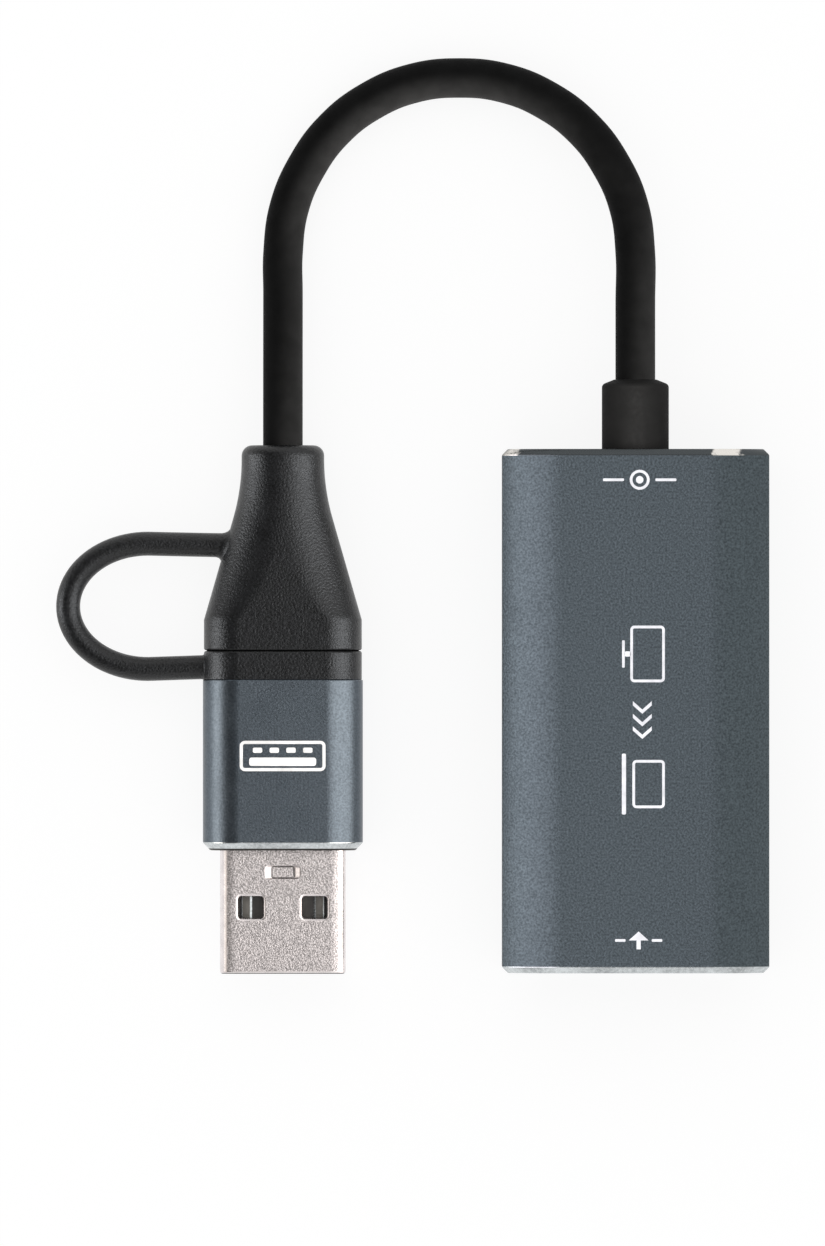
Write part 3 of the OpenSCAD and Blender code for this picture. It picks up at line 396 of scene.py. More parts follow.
def added(name, data):
    """Object in the scene."""
    obj = bpy.data.objects.new(name, data)
    bpy.context.scene.collection.objects.link(obj)
    return obj


def piece(bm, name, materials, body=None, stands_for=(), sharp=SHARP):
    """Object made of the collected faces, welded, smooth and placed on its body."""
    bmesh.ops.remove_doubles(bm, verts=bm.verts, dist=WELD)
    bmesh.ops.recalc_face_normals(bm, faces=bm.faces)
    mesh = bpy.data.meshes.new(name)
    bm.to_mesh(mesh)
    bm.free()
    for material in materials:
        mesh.materials.append(material)
    mesh.polygons.foreach_set("use_smooth", [True] * len(mesh.polygons))
    mesh.set_sharp_from_angle(angle=math.radians(sharp))
    obj = added(name, mesh)
    obj.modifiers.new("normals", "WEIGHTED_NORMAL").keep_sharp = True
    if stands_for:
        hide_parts(*stands_for)
    if body:
        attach(obj, body)
    return obj


def node(tree, kind, *inputs, **values):
    """New shader node; each input is its place and a value or the socket that feeds it."""
    made = tree.nodes.new("ShaderNode" + kind)
    for name, value in values.items():
        setattr(made, name, value)
    for place, value in inputs:
        if isinstance(value, bpy.types.NodeSocket):
            tree.links.new(value, made.inputs[place])
        else:
            made.inputs[place].default_value = value
    return made


def mixed(tree, factor, low, high):
    """Value between two others, each a number or a socket."""
    return node(tree, "Mix", (0, factor), (2, low), (3, high)).outputs[0]


def ramped(tree, source, stops):
    """Colour from a ramp of stops, each a place and a colour."""
    ramp = node(tree, "ValToRGB", ("Fac", source))
    elements = ramp.color_ramp.elements
    while len(elements) < len(stops):
        elements.new(1)
    for element, (place, colour) in zip(elements, stops):
        element.position = place
        element.color = (*colour, 1)
    return ramp.outputs["Color"]


class Finish:
    """Procedural material: a Principled surface and the textures that feed it."""

    def __init__(self, name, colour, roughness, metallic=0.0, specular=0.5):
        self.material = bpy.data.materials.new(name)
        self.material.use_nodes = True
        self.tree = self.material.node_tree
        self.surface = self.tree.nodes["Principled BSDF"]
        self.colour = colour
        self.roughness = roughness
        self.surface.inputs["Base Color"].default_value = (*colour, 1)
        levels = {"Roughness": roughness, "Metallic": metallic, "Specular IOR Level": specular}
        for name, level in levels.items():
            self.surface.inputs[name].default_value = level
        self.place = self.node("TexCoord").outputs["Object"]

    def node(self, kind, *inputs, **values):
        return node(self.tree, kind, *inputs, **values)

    def feed(self, name, source):
        """Let an input of the surface follow a socket."""
        self.tree.links.new(source, self.surface.inputs[name])

    def noise(self, size, detail=2.0, stretch=(1, 1, 1)):
        """Noise whose features are about that size."""
        place = self.node("Mapping", ("Scale", stretch), ("Vector", self.place)).outputs["Vector"]
        made = self.node("TexNoise", ("Scale", 1 / size), ("Detail", detail), ("Vector", place))
        return made.outputs["Fac"]

    def ranged(self, source, low, high, start=0.3, end=0.7):
        """Value spread over a range."""
        ends = (("From Min", start), ("From Max", end), ("To Min", low), ("To Max", high))
        return self.node("MapRange", ("Value", source), *ends).outputs["Result"]

    def tint(self, source, low, high, start=0.3, end=0.7):
        """Base colour between two shades of the material's colour."""
        stops = [(start, Vector(self.colour) * low), (end, Vector(self.colour) * high)]
        self.feed("Base Color", ramped(self.tree, source, stops))

    def polish(self, size, less, more):
        """Roughness that goes a little below and above its value, in spots of that size."""
        low, high = self.roughness - less, self.roughness + more
        self.feed("Roughness", self.ranged(self.noise(size), low, high))

    def tool_marks(self):
        """Roughness that changes in fine stripes."""
        stripes = self.noise(0.25 * MM, 2, (1, 6, 1))
        self.feed("Roughness", self.ranged(stripes, self.roughness * 0.7, self.roughness * 1.4))

    def bump(self, source, height, strength=1.0):
        """Relief of that height."""
        made = self.node("Bump", ("Strength", strength), ("Distance", height), ("Height", source))
        self.feed("Normal", made.outputs["Normal"])


def anodised(name, colour, roughness, contrast, relief):
    """Blasted aluminium, coloured by anodising: fine even grain and a faint mottle."""
    made = Finish(name, colour, roughness, metallic=1.0)
    grain = made.noise(0.2 * MM, 3)
    made.tint(grain, 1 - contrast, 1 + contrast)
    made.polish(3 * MM, 0.03, 0.03)
    made.bump(grain, relief)
    return made.material


def cut_metal(name, colour, roughness):
    """Bright milled cut: faint tool marks and a slow change of shade along it."""
    made = Finish(name, colour, roughness, metallic=1.0)
    shade = mixed(made.tree, 0.4, made.noise(5 * MM, 3), made.noise(0.3 * MM))
    made.tint(shade, 0.6, 1.15, 0.35, 0.62)
    made.tool_marks()
    return made.material


def shaded_cut_with_glints(name, colour, glint_colour, roughness):
    """Milled cut painted in shade, with two stretches of its upper edge painted bright as
    reflections.
    """
    made = Finish(name, colour, roughness, metallic=1.0)
    at = made.node("SeparateXYZ", ("Vector", made.place)).outputs
    ragged = made.ranged(made.noise(0.5 * MM), -0.3 * MM, 0.3 * MM)
    across = made.node("Math", (0, at["X"]), (1, ragged), operation="ADD").outputs["Value"]
    # Stretches along X where the colour turns light are painted reflections.
    stops = []
    for x, share in GLINT_STRETCHES:
        place = (x * MM - CASE_LOW.x) / CASE_SIZE.x
        stops.append((place, Vector(colour).lerp(Vector(glint_colour), share)))
    bright = ramped(made.tree, made.ranged(across, 0, 1, CASE_LOW.x, CASE_HIGH.x), stops)
    # Only the upper edge carries the painted reflections; below it the bevel keeps the painted
    # shade.
    shoulder = CASE_MID.z + CASE_SIDE_H / 2
    upper = made.ranged(at["Z"], 0, 1, shoulder - CASE_EDGE_R, shoulder + CASE_EDGE_R)
    # A colour mix has its two colours in inputs 6 and 7 and its result in output 2
    mix = made.node("Mix", (0, upper), (6, (*colour, 1)), (7, bright), data_type="RGBA")
    made.feed("Base Color", mix.outputs[2])
    made.tool_marks()
    return made.material


def blasted_nickel(name, colour, roughness):
    """Nickel plate with a coarse blasted sparkle."""
    made = Finish(name, colour, roughness, metallic=1.0)
    speck = made.noise(0.14 * MM, 3)
    made.tint(speck, 0.6, 1.27, 0.38, 0.62)
    made.polish(0.3 * MM, 0.06, 0.06)
    made.bump(speck, 0.05 * MM)
    return made.material


def plated(name, colour, roughness):
    """Smooth plated sheet with slight waviness."""
    made = Finish(name, colour, roughness, metallic=1.0)
    made.tint(made.noise(0.8 * MM), 0.9, 1.06)
    made.polish(0.2 * MM, 0.05, 0.08)
    return made.material


def grained_rubber(name, colour, roughness):
    """Soft moulding with a fine sand-blasted grain."""
    made = Finish(name, colour, roughness)
    grain = made.noise(0.2 * MM)
    made.tint(grain, 0.1, 2.6, 0.35, 0.65)
    made.polish(2 * MM, 0.04, 0.04)
    made.bump(grain, 0.055 * MM)
    return made.material


def smooth_rubber(name, colour, roughness, specular):
    """Satin extruded or moulded rubber."""
    made = Finish(name, colour, roughness, specular=specular)
    made.tint(made.noise(1.5 * MM), 0.85, 1.15)
    made.polish(0.4 * MM, 0.05, 0.05)
    made.bump(made.noise(0.08 * MM), 0.003 * MM, 0.4)
    return made.material


def moulded(name, colour, roughness, specular=0.5):
    """Moulded plastic with a slight mottle and a fine skin."""
    made = Finish(name, colour, roughness, specular=specular)
    made.tint(made.noise(1.2 * MM), 0.85, 1.15)
    made.polish(0.3 * MM, 0.06, 0.06)
    made.bump(made.noise(0.1 * MM), 0.004 * MM, 0.5)
    return made.material


def board_mask(name, colour, roughness):
    """Solder mask over tracks that run in short straight stretches."""
    made = Finish(name, colour, roughness)
    pattern = (("Scale", 1 / (4 * MM)), ("Mortar Size", 0.05), ("Vector", made.place))
    tracks = made.node("TexBrick", *pattern).outputs["Fac"]
    made.tint(tracks, 0.75, 1.6, 0.2, 0.8)
    made.bump(tracks, 0.03 * MM, 0.5)
    made.polish(0.6 * MM, 0.05, 0.1)
    return made.material


# Finishes: colour and roughness, then contrast and relief of anodising or specular level
ANODISED = anodised("sleeve_anodising", (0.078, 0.096, 0.106), 0.44, 0.35, 0.04 * MM)
ANODISED_ADAPTER = anodised("adapter_anodising", (0.091, 0.11, 0.131), 0.38, 0.25, 0.015 * MM)
CUT = cut_metal("bright_cut", (0.58, 0.61, 0.62), 0.22)
# Lead-end bevel: painted shade, with painted reflections in the second colour.
SHADED_CUT = shaded_cut_with_glints("shaded_cut_with_glints", (0.07, 0.078, 0.082), (0.8, 0.77, 0.72), 0.25)
RAW = cut_metal("raw_aluminium", (0.42, 0.43, 0.44), 0.4)
NICKEL = blasted_nickel("blasted_nickel", (0.61, 0.57, 0.57), 0.34)
# Lighter copy of the nickel for bends, window rims and bridge slopes: painted highlight
NICKEL_HIGHLIGHT = plated("nickel_painted_highlight", (0.84, 0.785, 0.78), 0.28)
# Near-black copy of the plating, put where shade falls: painted shadow lines and painted shade
PAINTED_SHADE_EDGE = plated("painted_shade_edge", (0.06, 0.058, 0.055), 0.5)
PLATED = plated("plated_steel", (0.6, 0.57, 0.51), 0.24)
GOLD = plated("gold_flash", (0.78, 0.58, 0.26), 0.22)
PALE_GOLD = plated("pale_gold", (0.66, 0.58, 0.43), 0.25)
DULL_CONTACT = plated("dull_contact", (0.2, 0.19, 0.175), 0.4)
GRAINED = grained_rubber("grained_rubber", (0.0035, 0.0036, 0.004), 0.36)
SEAM = smooth_rubber("seam_rubber", (0.003, 0.003, 0.003), 0.8, 0.04)
LEAD_RUBBER = smooth_rubber("lead_rubber", (0.008, 0.008, 0.008), 0.6, 0.05)
COLLAR_RUBBER = smooth_rubber("collar_rubber", (0.005, 0.005, 0.005), 0.7, 0.08)
BLACK_PLATE = moulded("black_plate", (0.005, 0.0068, 0.008), 0.4, 0.2)
INSULATOR = moulded("insulator", (0.016, 0.017, 0.019), 0.5)
GREY_INSULATOR = moulded("grey_insulator", (0.11, 0.105, 0.1), 0.5)
TONGUE = moulded("tongue_moulding", (0.062, 0.068, 0.065), 0.5)
CHIP = moulded("chip_epoxy", (0.014, 0.014, 0.015), 0.55)
FERRITE = moulded("ferrite", (0.03, 0.03, 0.031), 0.7)
CERAMIC = moulded("ceramic", (0.3, 0.2, 0.12), 0.5)
SILICONE = moulded("silicone_pad", (0.2, 0.28, 0.36), 0.7)
JACKETS = moulded("wire_jackets", (0.24, 0.03, 0.022), 0.45)
NATURAL = moulded("natural_moulding", (0.6, 0.6, 0.57), 0.5)
MASK = board_mask("solder_mask", (0.006, 0.075, 0.03), 0.35)
PRINT = moulded("pale_print", (0.72, 0.74, 0.76), 0.6)


def sleeve():
    """Extruded sleeve with a bevel cut round each end; the lead end's bevel is painted in shade,
    with painted reflections along its upper edge.
    """
    bm = bmesh.new()
    outer, cut, raw, shaded_end = range(4)
    end = [
        (CASE_WALL, EDGE),
        (CASE_WALL - EDGE, 0),
        (CASE_BEVEL + EDGE, 0),
        (CASE_BEVEL - BREAK_45, BREAK_45),
        (BREAK_45, CASE_BEVEL - BREAK_45),
        (0, CASE_BEVEL + EDGE),
    ]
    stations = [(inset, CASE_LOW.y + depth) for inset, depth in end]
    stations += [(inset, CASE_HIGH.y - depth) for inset, depth in reversed(end)]
    rings = []
    for inset, y in stations:
        radius = CASE_INNER_R if inset == CASE_WALL else CASE_EDGE_R
        rings.append(ring_y(case_outline(inset, radius), y, 0, CASE_MID.z))
    bevel = len(end) - 1
    # Strips of the lead end's bevel take the finish of painted shade and painted reflections.
    skin(bm, rings, closed=True, finish=[cut] * bevel + [outer] + [shaded_end] * bevel + [raw])
    return piece(
        bm, "sleeve", [ANODISED, CUT, RAW, SHADED_CUT], BOX, ["case_sleeve"]
    )


def prism(bm, near, far, finish):
    """Solid between two outlines of equal count."""
    skin(bm, [near, far], finish=[finish])
    for loop in (near, far):
        bm.faces.new([bm.verts.new(p) for p in loop]).material_index = finish


def video_outline(grow):
    """Section of the video socket, grown from its opening."""
    x, z = VIDEO_W / 2, VIDEO_H / 2
    half = [
        (VIDEO_LOW_W / 2, -z, VIDEO_LOW_R + grow),
        (x - VIDEO_SHOULDER_W, z - VIDEO_SIDE_H, VIDEO_SHOULDER_R - grow),
        (x, z - VIDEO_SIDE_H, VIDEO_SIDE_R + grow),
        (x, z, VIDEO_SIDE_R + grow),
    ]
    whole = half + [(-a, b, radius) for a, b, radius in reversed(half)]
    corners = grown([flat(a, b) for a, b, _ in whole], grow)
    return rounded(corners, [radius for _, _, radius in whole], FINE_ARC)


def video_shell():
    """Shell of the video socket: a thin rolled rim in a black bezel, springs in painted shade, legs
    below.
    """
    bm = bmesh.new()
    low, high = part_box("video_shell")
    bright, dull, black, dark = range(4)
    roll = VIDEO_RIM / 2
    stations = [(0, high.y - low.y, dull)]
    for i in range(VIDEO_RIM_STEPS + 1):
        a = math.pi * i / VIDEO_RIM_STEPS
        stations.append((roll * (1 - math.cos(a)), roll * (1 - math.sin(a)), bright))
    stations += [
        (VIDEO_RIM + LEAST_R, BEZEL_SET, black),
        (BEZEL_W, BEZEL_SET, black),
        (BEZEL_W, BEZEL_L, black),
        (VIDEO_WALL, BEZEL_L, bright),
        (VIDEO_WALL, high.y - low.y, bright),
    ]
    rings = []
    for grow, depth, _ in stations:
        rings.append(ring_y(video_outline(grow), low.y + depth, 0, CASE_MID.z))
    skin(bm, rings, closed=True, finish=[finish for _, _, finish in stations])
    z = VIDEO_H / 2
    spring = [
        flat(SPRING_L, z), flat(SPRING_L, z + VIDEO_WALL),
        flat(SPRING_START, z - SPRING_DIP), flat(SPRING_START, z - SPRING_DIP - VIDEO_WALL),
    ]
    for side in (-1, 1):
        for face, place in ((1, SPRING_HIGH_X), (-1, SPRING_LOW_X)):
            # The springs take the near-black finish as painted shade.
            ends = [
                [Vector((x, low.y + SPRING_Y + p.x, CASE_MID.z + face * p.y)) for p in spring]
                for x in (side * place - SPRING_W / 2, side * place + SPRING_W / 2)
            ]
            prism(bm, *ends, dark)
        for start in LEG_PLACES:
            leg = slab(VIDEO_WALL, LEG_L, LEAST_R, 0, 1)
            middle = Vector((side * (VIDEO_W + VIDEO_WALL) / 2, low.y + start + LEG_L / 2, 0))
            feet = (low.z, CASE_MID.z)
            ends = [[middle + Vector((p.x, p.y, foot)) for p in leg] for foot in feet]
            prism(bm, *ends, bright)
    return piece(
        bm, "video_sleeve", [PLATED, DULL_CONTACT, BLACK_PLATE, PAINTED_SHADE_EDGE], BOX,
        ["video_shell"],
    )


def collar():
    """Strain relief turned round the cable."""
    bm = bmesh.new()
    bore = CABLE_D / 2 + FIT
    flange_r = (COLLAR_HIGH - COLLAR_LOW).x / 2
    end = COLLAR_HIGH.y - COLLAR_LOW.y
    corners = [
        flat(bore, 0), flat(flange_r, 0), flat(flange_r, FLANGE_T), flat(NECK_D / 2, FLANGE_T),
        flat(NECK_D / 2, FLANGE_T + PLATE_T), flat(COLLAR_D / 2, FLANGE_T + PLATE_T),
        flat(COLLAR_D / 2, end - COLLAR_DOME), flat(bore, end),
    ]
    radii = [LEAST_R, EDGE, EDGE, LEAST_R, LEAST_R, LEAST_R, COLLAR_ROUND, EDGE]
    rings = []
    for p in rounded(corners, radii, FINE_ARC):
        rings.append(ring_y(circle(p.x, COLLAR_SIDES), COLLAR_LOW.y + p.y, 0, CASE_MID.z))
    skin(bm, rings, closed=True)
    return piece(bm, "collar", [COLLAR_RUBBER], BOX, ["strain_relief"])


def cable():
    """Lead along its route from inside the collar to inside the boot."""
    curve = bpy.data.curves.new("lead", "CURVE")
    curve.dimensions = "3D"
    curve.bevel_depth = CABLE_D / 2
    curve.bevel_resolution = curve.resolution_u = CABLE_STEPS
    curve.use_fill_caps = True
    spline = curve.splines.new("BEZIER")
    spline.bezier_points.add(len(CABLE_ROUTE) - 1)
    for point, place in zip(spline.bezier_points, CABLE_ROUTE):
        point.co = Vector(place) * MM
        point.handle_left_type = point.handle_right_type = "AUTO"
    curve.materials.append(LEAD_RUBBER)
    obj = added("lead", curve)
    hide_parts("cable")
    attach(obj, BOX)
    return obj


def boot_flare(height):
    """Share of the boot's widening at a height above its lower end."""
    u = (BOOT_L - height) / (BOOT_L - BOOT_BAND_L)
    slope = 1 / (1 - (FLARE_START + FLARE_END) / 2)
    if u <= FLARE_START:
        return 0.0
    if u >= 1:
        return 1.0
    if u < FLARE_END:
        return slope * (u - FLARE_START) ** 2 / (2 * (FLARE_END - FLARE_START))
    return slope * (u - (FLARE_START + FLARE_END) / 2)


def boot_section(height):
    """Width and thickness of the boot at a height, and the reach and rise of its corners."""
    share = boot_flare(height)
    neck_rise = (BOOT_NECK_T - BOOT_NECK_FLAT) / 2
    width, thick, rise = (
        neck + (band - neck) * share
        for neck, band in ((BOOT_NECK_W, BAND_W), (BOOT_NECK_T, BAND_T), (neck_rise, BAND_R))
    )
    half_flat = BOOT_NECK_FLAT / 2 + (BAND_W / 2 - BAND_R - BOOT_NECK_FLAT / 2) * share**3
    return width, thick, width / 2 - half_flat, rise


def side_reach(section, dz):
    """Half width of a section at a distance dz from its middle."""
    width, thick, reach, rise = section
    past = max(abs(dz) - (thick / 2 - rise), 0)
    return width / 2 - reach + reach * math.sqrt(max(1 - (past / rise) ** 2, 0))


def quarter(count):
    """Angles of a quarter turn."""
    return [math.pi / 2 * i / count for i in range(count + 1)]


def boot():
    """Soft boot: a rounded neck that flares to a band, open for the plug below."""
    bm = bmesh.new()
    top = BOOT_L - BOOT_ROUND
    foot_in = PARTING_ROUND + PARTING_STEP_IN
    stations = [(-PARTING_STEP, foot_in), (0, foot_in)]
    for a in quarter(SMALL_ARC):
        stations.append((PARTING_ROUND * (1 - math.cos(a)), PARTING_ROUND * (1 - math.sin(a))))
    for i in range(BOOT_STATIONS):
        stations.append((BOOT_BAND_L + (top - BOOT_BAND_L) * i / BOOT_STATIONS, 0))
    for a in quarter(NECK_ARC):
        stations.append((top + BOOT_ROUND * math.sin(a), BOOT_ROUND * (1 - math.cos(a))))
    rings = [
        ring_y(oval_slab(*boot_section(h), inset), BOOT_LOW.y + h, PLUG_X, PLUG_Z)
        for h, inset in stations
    ]
    skin(bm, rings, finish=[1] * SEAM_STRIPS + [0] * (len(rings) - SEAM_STRIPS))

    def at(y):
        return lambda p: Vector((PLUG_X + p.x, y, PLUG_Z + p.y))

    mouth = slab(C_SIZE.x, C_SIZE.z, C_SIZE.z / 2, FIT, FINE_ARC)
    inner_y = BOOT_LOW.y + CORE_WALL
    foot_y = BOOT_LOW.y - PARTING_STEP
    panel(bm, [oval_slab(*boot_section(0), foot_in), mouth], at(foot_y))
    skin(bm, [ring_y(mouth, y, PLUG_X, PLUG_Z) for y in (foot_y, inner_y)])
    panel(bm, [mouth], at(inner_y))
    bore = circle(CABLE_D / 2, BORE_SIDES)
    bore_end = BOOT_HIGH.y - 2 * BOOT_ROUND
    panel(bm, [oval_slab(*boot_section(BOOT_L), BOOT_ROUND), bore], at(BOOT_HIGH.y))
    skin(bm, [ring_y(bore, y, PLUG_X, PLUG_Z) for y in (BOOT_HIGH.y, bore_end)])
    panel(bm, [bore], at(bore_end))
    return piece(bm, "boot", [GRAINED, SEAM], BOX, ["plug_boot"])


def fillet_rings(axis_y, normal_y, fillet, surface, steps):
    """Rings of a fillet from a round tether to the left side that it grows out of."""
    radius = TETHER_D / 2
    wide = (radius + fillet) / radius
    rings = []
    for step in range(steps + 1):
        s = step / steps
        ring = []
        for p in circle(radius, TETHER_SIDES):
            y0, z0 = p.x * normal_y, p.y
            corner = Vector((surface(axis_y + y0, z0), axis_y + y0, PLUG_Z + z0))
            start = corner - Vector((fillet, 0, 0))
            foot_x = surface(axis_y + y0 * wide, z0 * wide) + ROOT_SINK
            foot = Vector((foot_x, axis_y + y0 * wide, PLUG_Z + z0 * wide))
            ring.append(start * (1 - s) ** 2 + corner * 2 * s * (1 - s) + foot * s**2)
        rings.append(ring)
    return rings


def tether():
    """Soft loop from the boot to the ring, with moulded fillets at both roots."""
    bm = bmesh.new()
    ring_section = (BAND_W, BAND_T, BAND_R, BAND_R)

    def boot_side(y, dz):
        return PLUG_X - side_reach(boot_section(y - BOOT_LOW.y), dz)

    def ring_side(_, dz):
        return PLUG_X - side_reach(ring_section, dz)

    high = fillet_rings(TETHER_HIGH_Y, 1, ROOT_FILLET, boot_side, ROOT_STEPS)
    low = fillet_rings(TETHER_LOW_Y, -1, LUG_FILLET, ring_side, LUG_STEPS)
    loop_x = PLUG_X - TETHER_REACH
    high_y, low_y = TETHER_HIGH_Y + TETHER_LIFT, TETHER_LOW_Y - TETHER_DROP
    mid_y, half_h = (high_y + low_y) / 2, (high_y - low_y) / 2

    def run(start, end, way):
        return [(start.lerp(end, i / TETHER_RUN), way) for i in range(1, TETHER_RUN)]

    root = flat(min(p.x for p in high[0]), TETHER_HIGH_Y)
    path = run(root, flat(loop_x, high_y), flat(-1, 0))
    for i in range(TETHER_TURNS + 1):
        a = math.pi / 2 + math.pi * i / TETHER_TURNS
        place = flat(loop_x + TETHER_BOW * math.cos(a), mid_y + half_h * math.sin(a))
        way = flat(-TETHER_BOW * math.sin(a), half_h * math.cos(a)).normalized()
        path.append((place, way))
    lug = flat(min(p.x for p in low[0]), TETHER_LOW_Y)
    path += run(flat(loop_x, low_y), lug, flat(1, 0))
    rings = list(reversed(high))
    section = circle(TETHER_D / 2, TETHER_SIDES)
    for place, way in path:
        normal = Vector((way.y, -way.x, 0))
        centre = Vector((place.x, place.y, PLUG_Z))
        rings.append([centre + normal * p.x + Vector((0, 0, p.y)) for p in section])
    rings += low
    skin(bm, rings)
    for ring in (rings[0], rings[-1]):
        bm.faces.new([bm.verts.new(p) for p in ring])
    obj = piece(bm, "tether_loop", [GRAINED], None, ["tether"])
    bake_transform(obj)
    return obj


def ring():
    """Soft ring round the adapter's mouth."""
    bm = bmesh.new()
    mouth = slab(C_SIZE.x, C_SIZE.z, C_SIZE.z / 2, MOUTH_FIT, ARC)
    stations = [(RING_BASE, EDGE), (RING_BASE + EDGE, 0)]
    for a in quarter(RING_ARC):
        y = RING_TOP - PARTING_ROUND * (1 - math.sin(a))
        stations.append((y, PARTING_ROUND * (1 - math.cos(a))))
    rings = [
        ring_y(slab(BAND_W, BAND_T, BAND_R, -inset), y, PLUG_X, PLUG_Z) for y, inset in stations
    ]
    rings += [ring_y(mouth, y, PLUG_X, PLUG_Z) for y in (RING_TOP, RING_LOW.y)]
    inner = slab(SHELL_SIZE.x, SHELL_SIZE.z, ADAPTER_R, -ADAPTER_WALL - FIT)
    rings += [ring_y(inner, y, PLUG_X, PLUG_Z) for y in (RING_LOW.y, RING_BASE)]
    skin(bm, rings, closed=True, finish=[0] * RING_STRIPS + [1] * (len(rings) - RING_STRIPS))
    return piece(bm, "ring", [GRAINED, SEAM], ADAPTER, ["adapter_ring"])


def adapter_shell():
    """Aluminium shell of the adapter with a bright bevel at its lower end and a painted shadow line
    along the bevel's foot.
    """
    bm = bmesh.new()
    low, high = SHELL_LOW.y, SHELL_HIGH.y
    outer, cut, raw, dull = range(4)
    stations = [
        (ADAPTER_WALL, low + EDGE, cut),
        (ADAPTER_WALL - EDGE, low, cut),
        # The strip at the foot of the bevel is painted as a shadow line.
        (ADAPTER_BEVEL + EDGE, low, dull),
        (ADAPTER_BEVEL - BREAK_45, low + BREAK_45, dull),
        (ADAPTER_BEVEL - ADAPTER_LINE, low + ADAPTER_LINE, cut),
        (BREAK_45, low + ADAPTER_BEVEL - BREAK_45, cut),
        (0, low + ADAPTER_BEVEL + EDGE, outer),
        (0, high - EDGE, outer),
        (EDGE, high, raw),
        (ADAPTER_WALL, high, raw),
    ]
    rings = [
        ring_y(slab(SHELL_SIZE.x, SHELL_SIZE.z, ADAPTER_R, -inset), y, PLUG_X, PLUG_Z)
        for inset, y, _ in stations
    ]
    skin(bm, rings, closed=True, finish=[finish for _, _, finish in stations])
    return piece(
        bm, "adapter_sleeve", [ANODISED_ADAPTER, CUT, RAW, PAINTED_SHADE_EDGE], ADAPTER,
        ["adapter_shell"],
    )


def folded(inset):
    """Section of the type A shell: each face bends slowly, then rolls over into the side."""
    slope = math.tan(A_BEND_TURN)
    roll_r = A_ROLL_W / (1 - math.sin(A_BEND_TURN))
    bend_x = A_SIZE.x / 2 - A_ROLL_W
    bend_y = A_SIZE.z / 2 - slope * A_BEND_W / 2
    centre = flat(A_SIZE.x / 2 - roll_r, bend_y - roll_r * math.cos(A_BEND_TURN))
    quadrant = []
    for i in range(FINE_ARC + 1):
        a = (math.pi / 2 - A_BEND_TURN) * i / FINE_ARC
        quadrant.append(centre + (roll_r - inset) * flat(math.cos(a), math.sin(a)))
    for i in range(1, A_BEND_STEPS + 1):
        share = 1 - i / A_BEND_STEPS
        drop = slope * A_BEND_W * share**2 / 2
        point = flat(bend_x - A_BEND_W * (1 - share), A_SIZE.z / 2 - drop)
        quadrant.append(point - inset * flat(slope * share, 1).normalized())
    back = list(reversed(quadrant))
    return (
        [flat(p.x, -p.y) for p in back] + quadrant
        + [flat(-p.x, p.y) for p in back] + [flat(-p.x, -p.y) for p in quadrant]
    )


def sheet(bm, edge, holes, place):
    """Flat sheet with narrow margins round its edge and holes, which keep its shading flat."""
    loops = [edge, *holes]
    inner = [grown(edge, -SHEET_MARGIN)] + [grown(hole, SHEET_MARGIN) for hole in holes]
    for pair in zip(loops, inner):
        skin(bm, [[place(p) for p in loop] for loop in pair])
    panel(bm, inner, place)


def bridge_loops(place):
    """Outlines and depths of the pressed bridge, from the sheet to the slit round its floor."""
    rim = Vector((BRIDGE_L, BRIDGE_W, BRIDGE_R))
    bed = Vector((BRIDGE_FLOOR_L, BRIDGE_FLOOR_W, BRIDGE_FLOOR_R))
    loops = []
    for i in range(BRIDGE_STEPS + 1):
        share = i / BRIDGE_STEPS
        eased = share * share * (3 - 2 * share)
        loops.append((slab(*rim.lerp(bed, share), 0, FINE_ARC), BRIDGE_DEPTH * eased))
    for share in (0.5, 1):
        slit = slab(*bed, -BRIDGE_SLIT * share, FINE_ARC)
        loops.append((slit, BRIDGE_DEPTH + BRIDGE_SLIT * (1 - share)))
    return [([place + p for p in loop], depth) for loop, depth in loops]


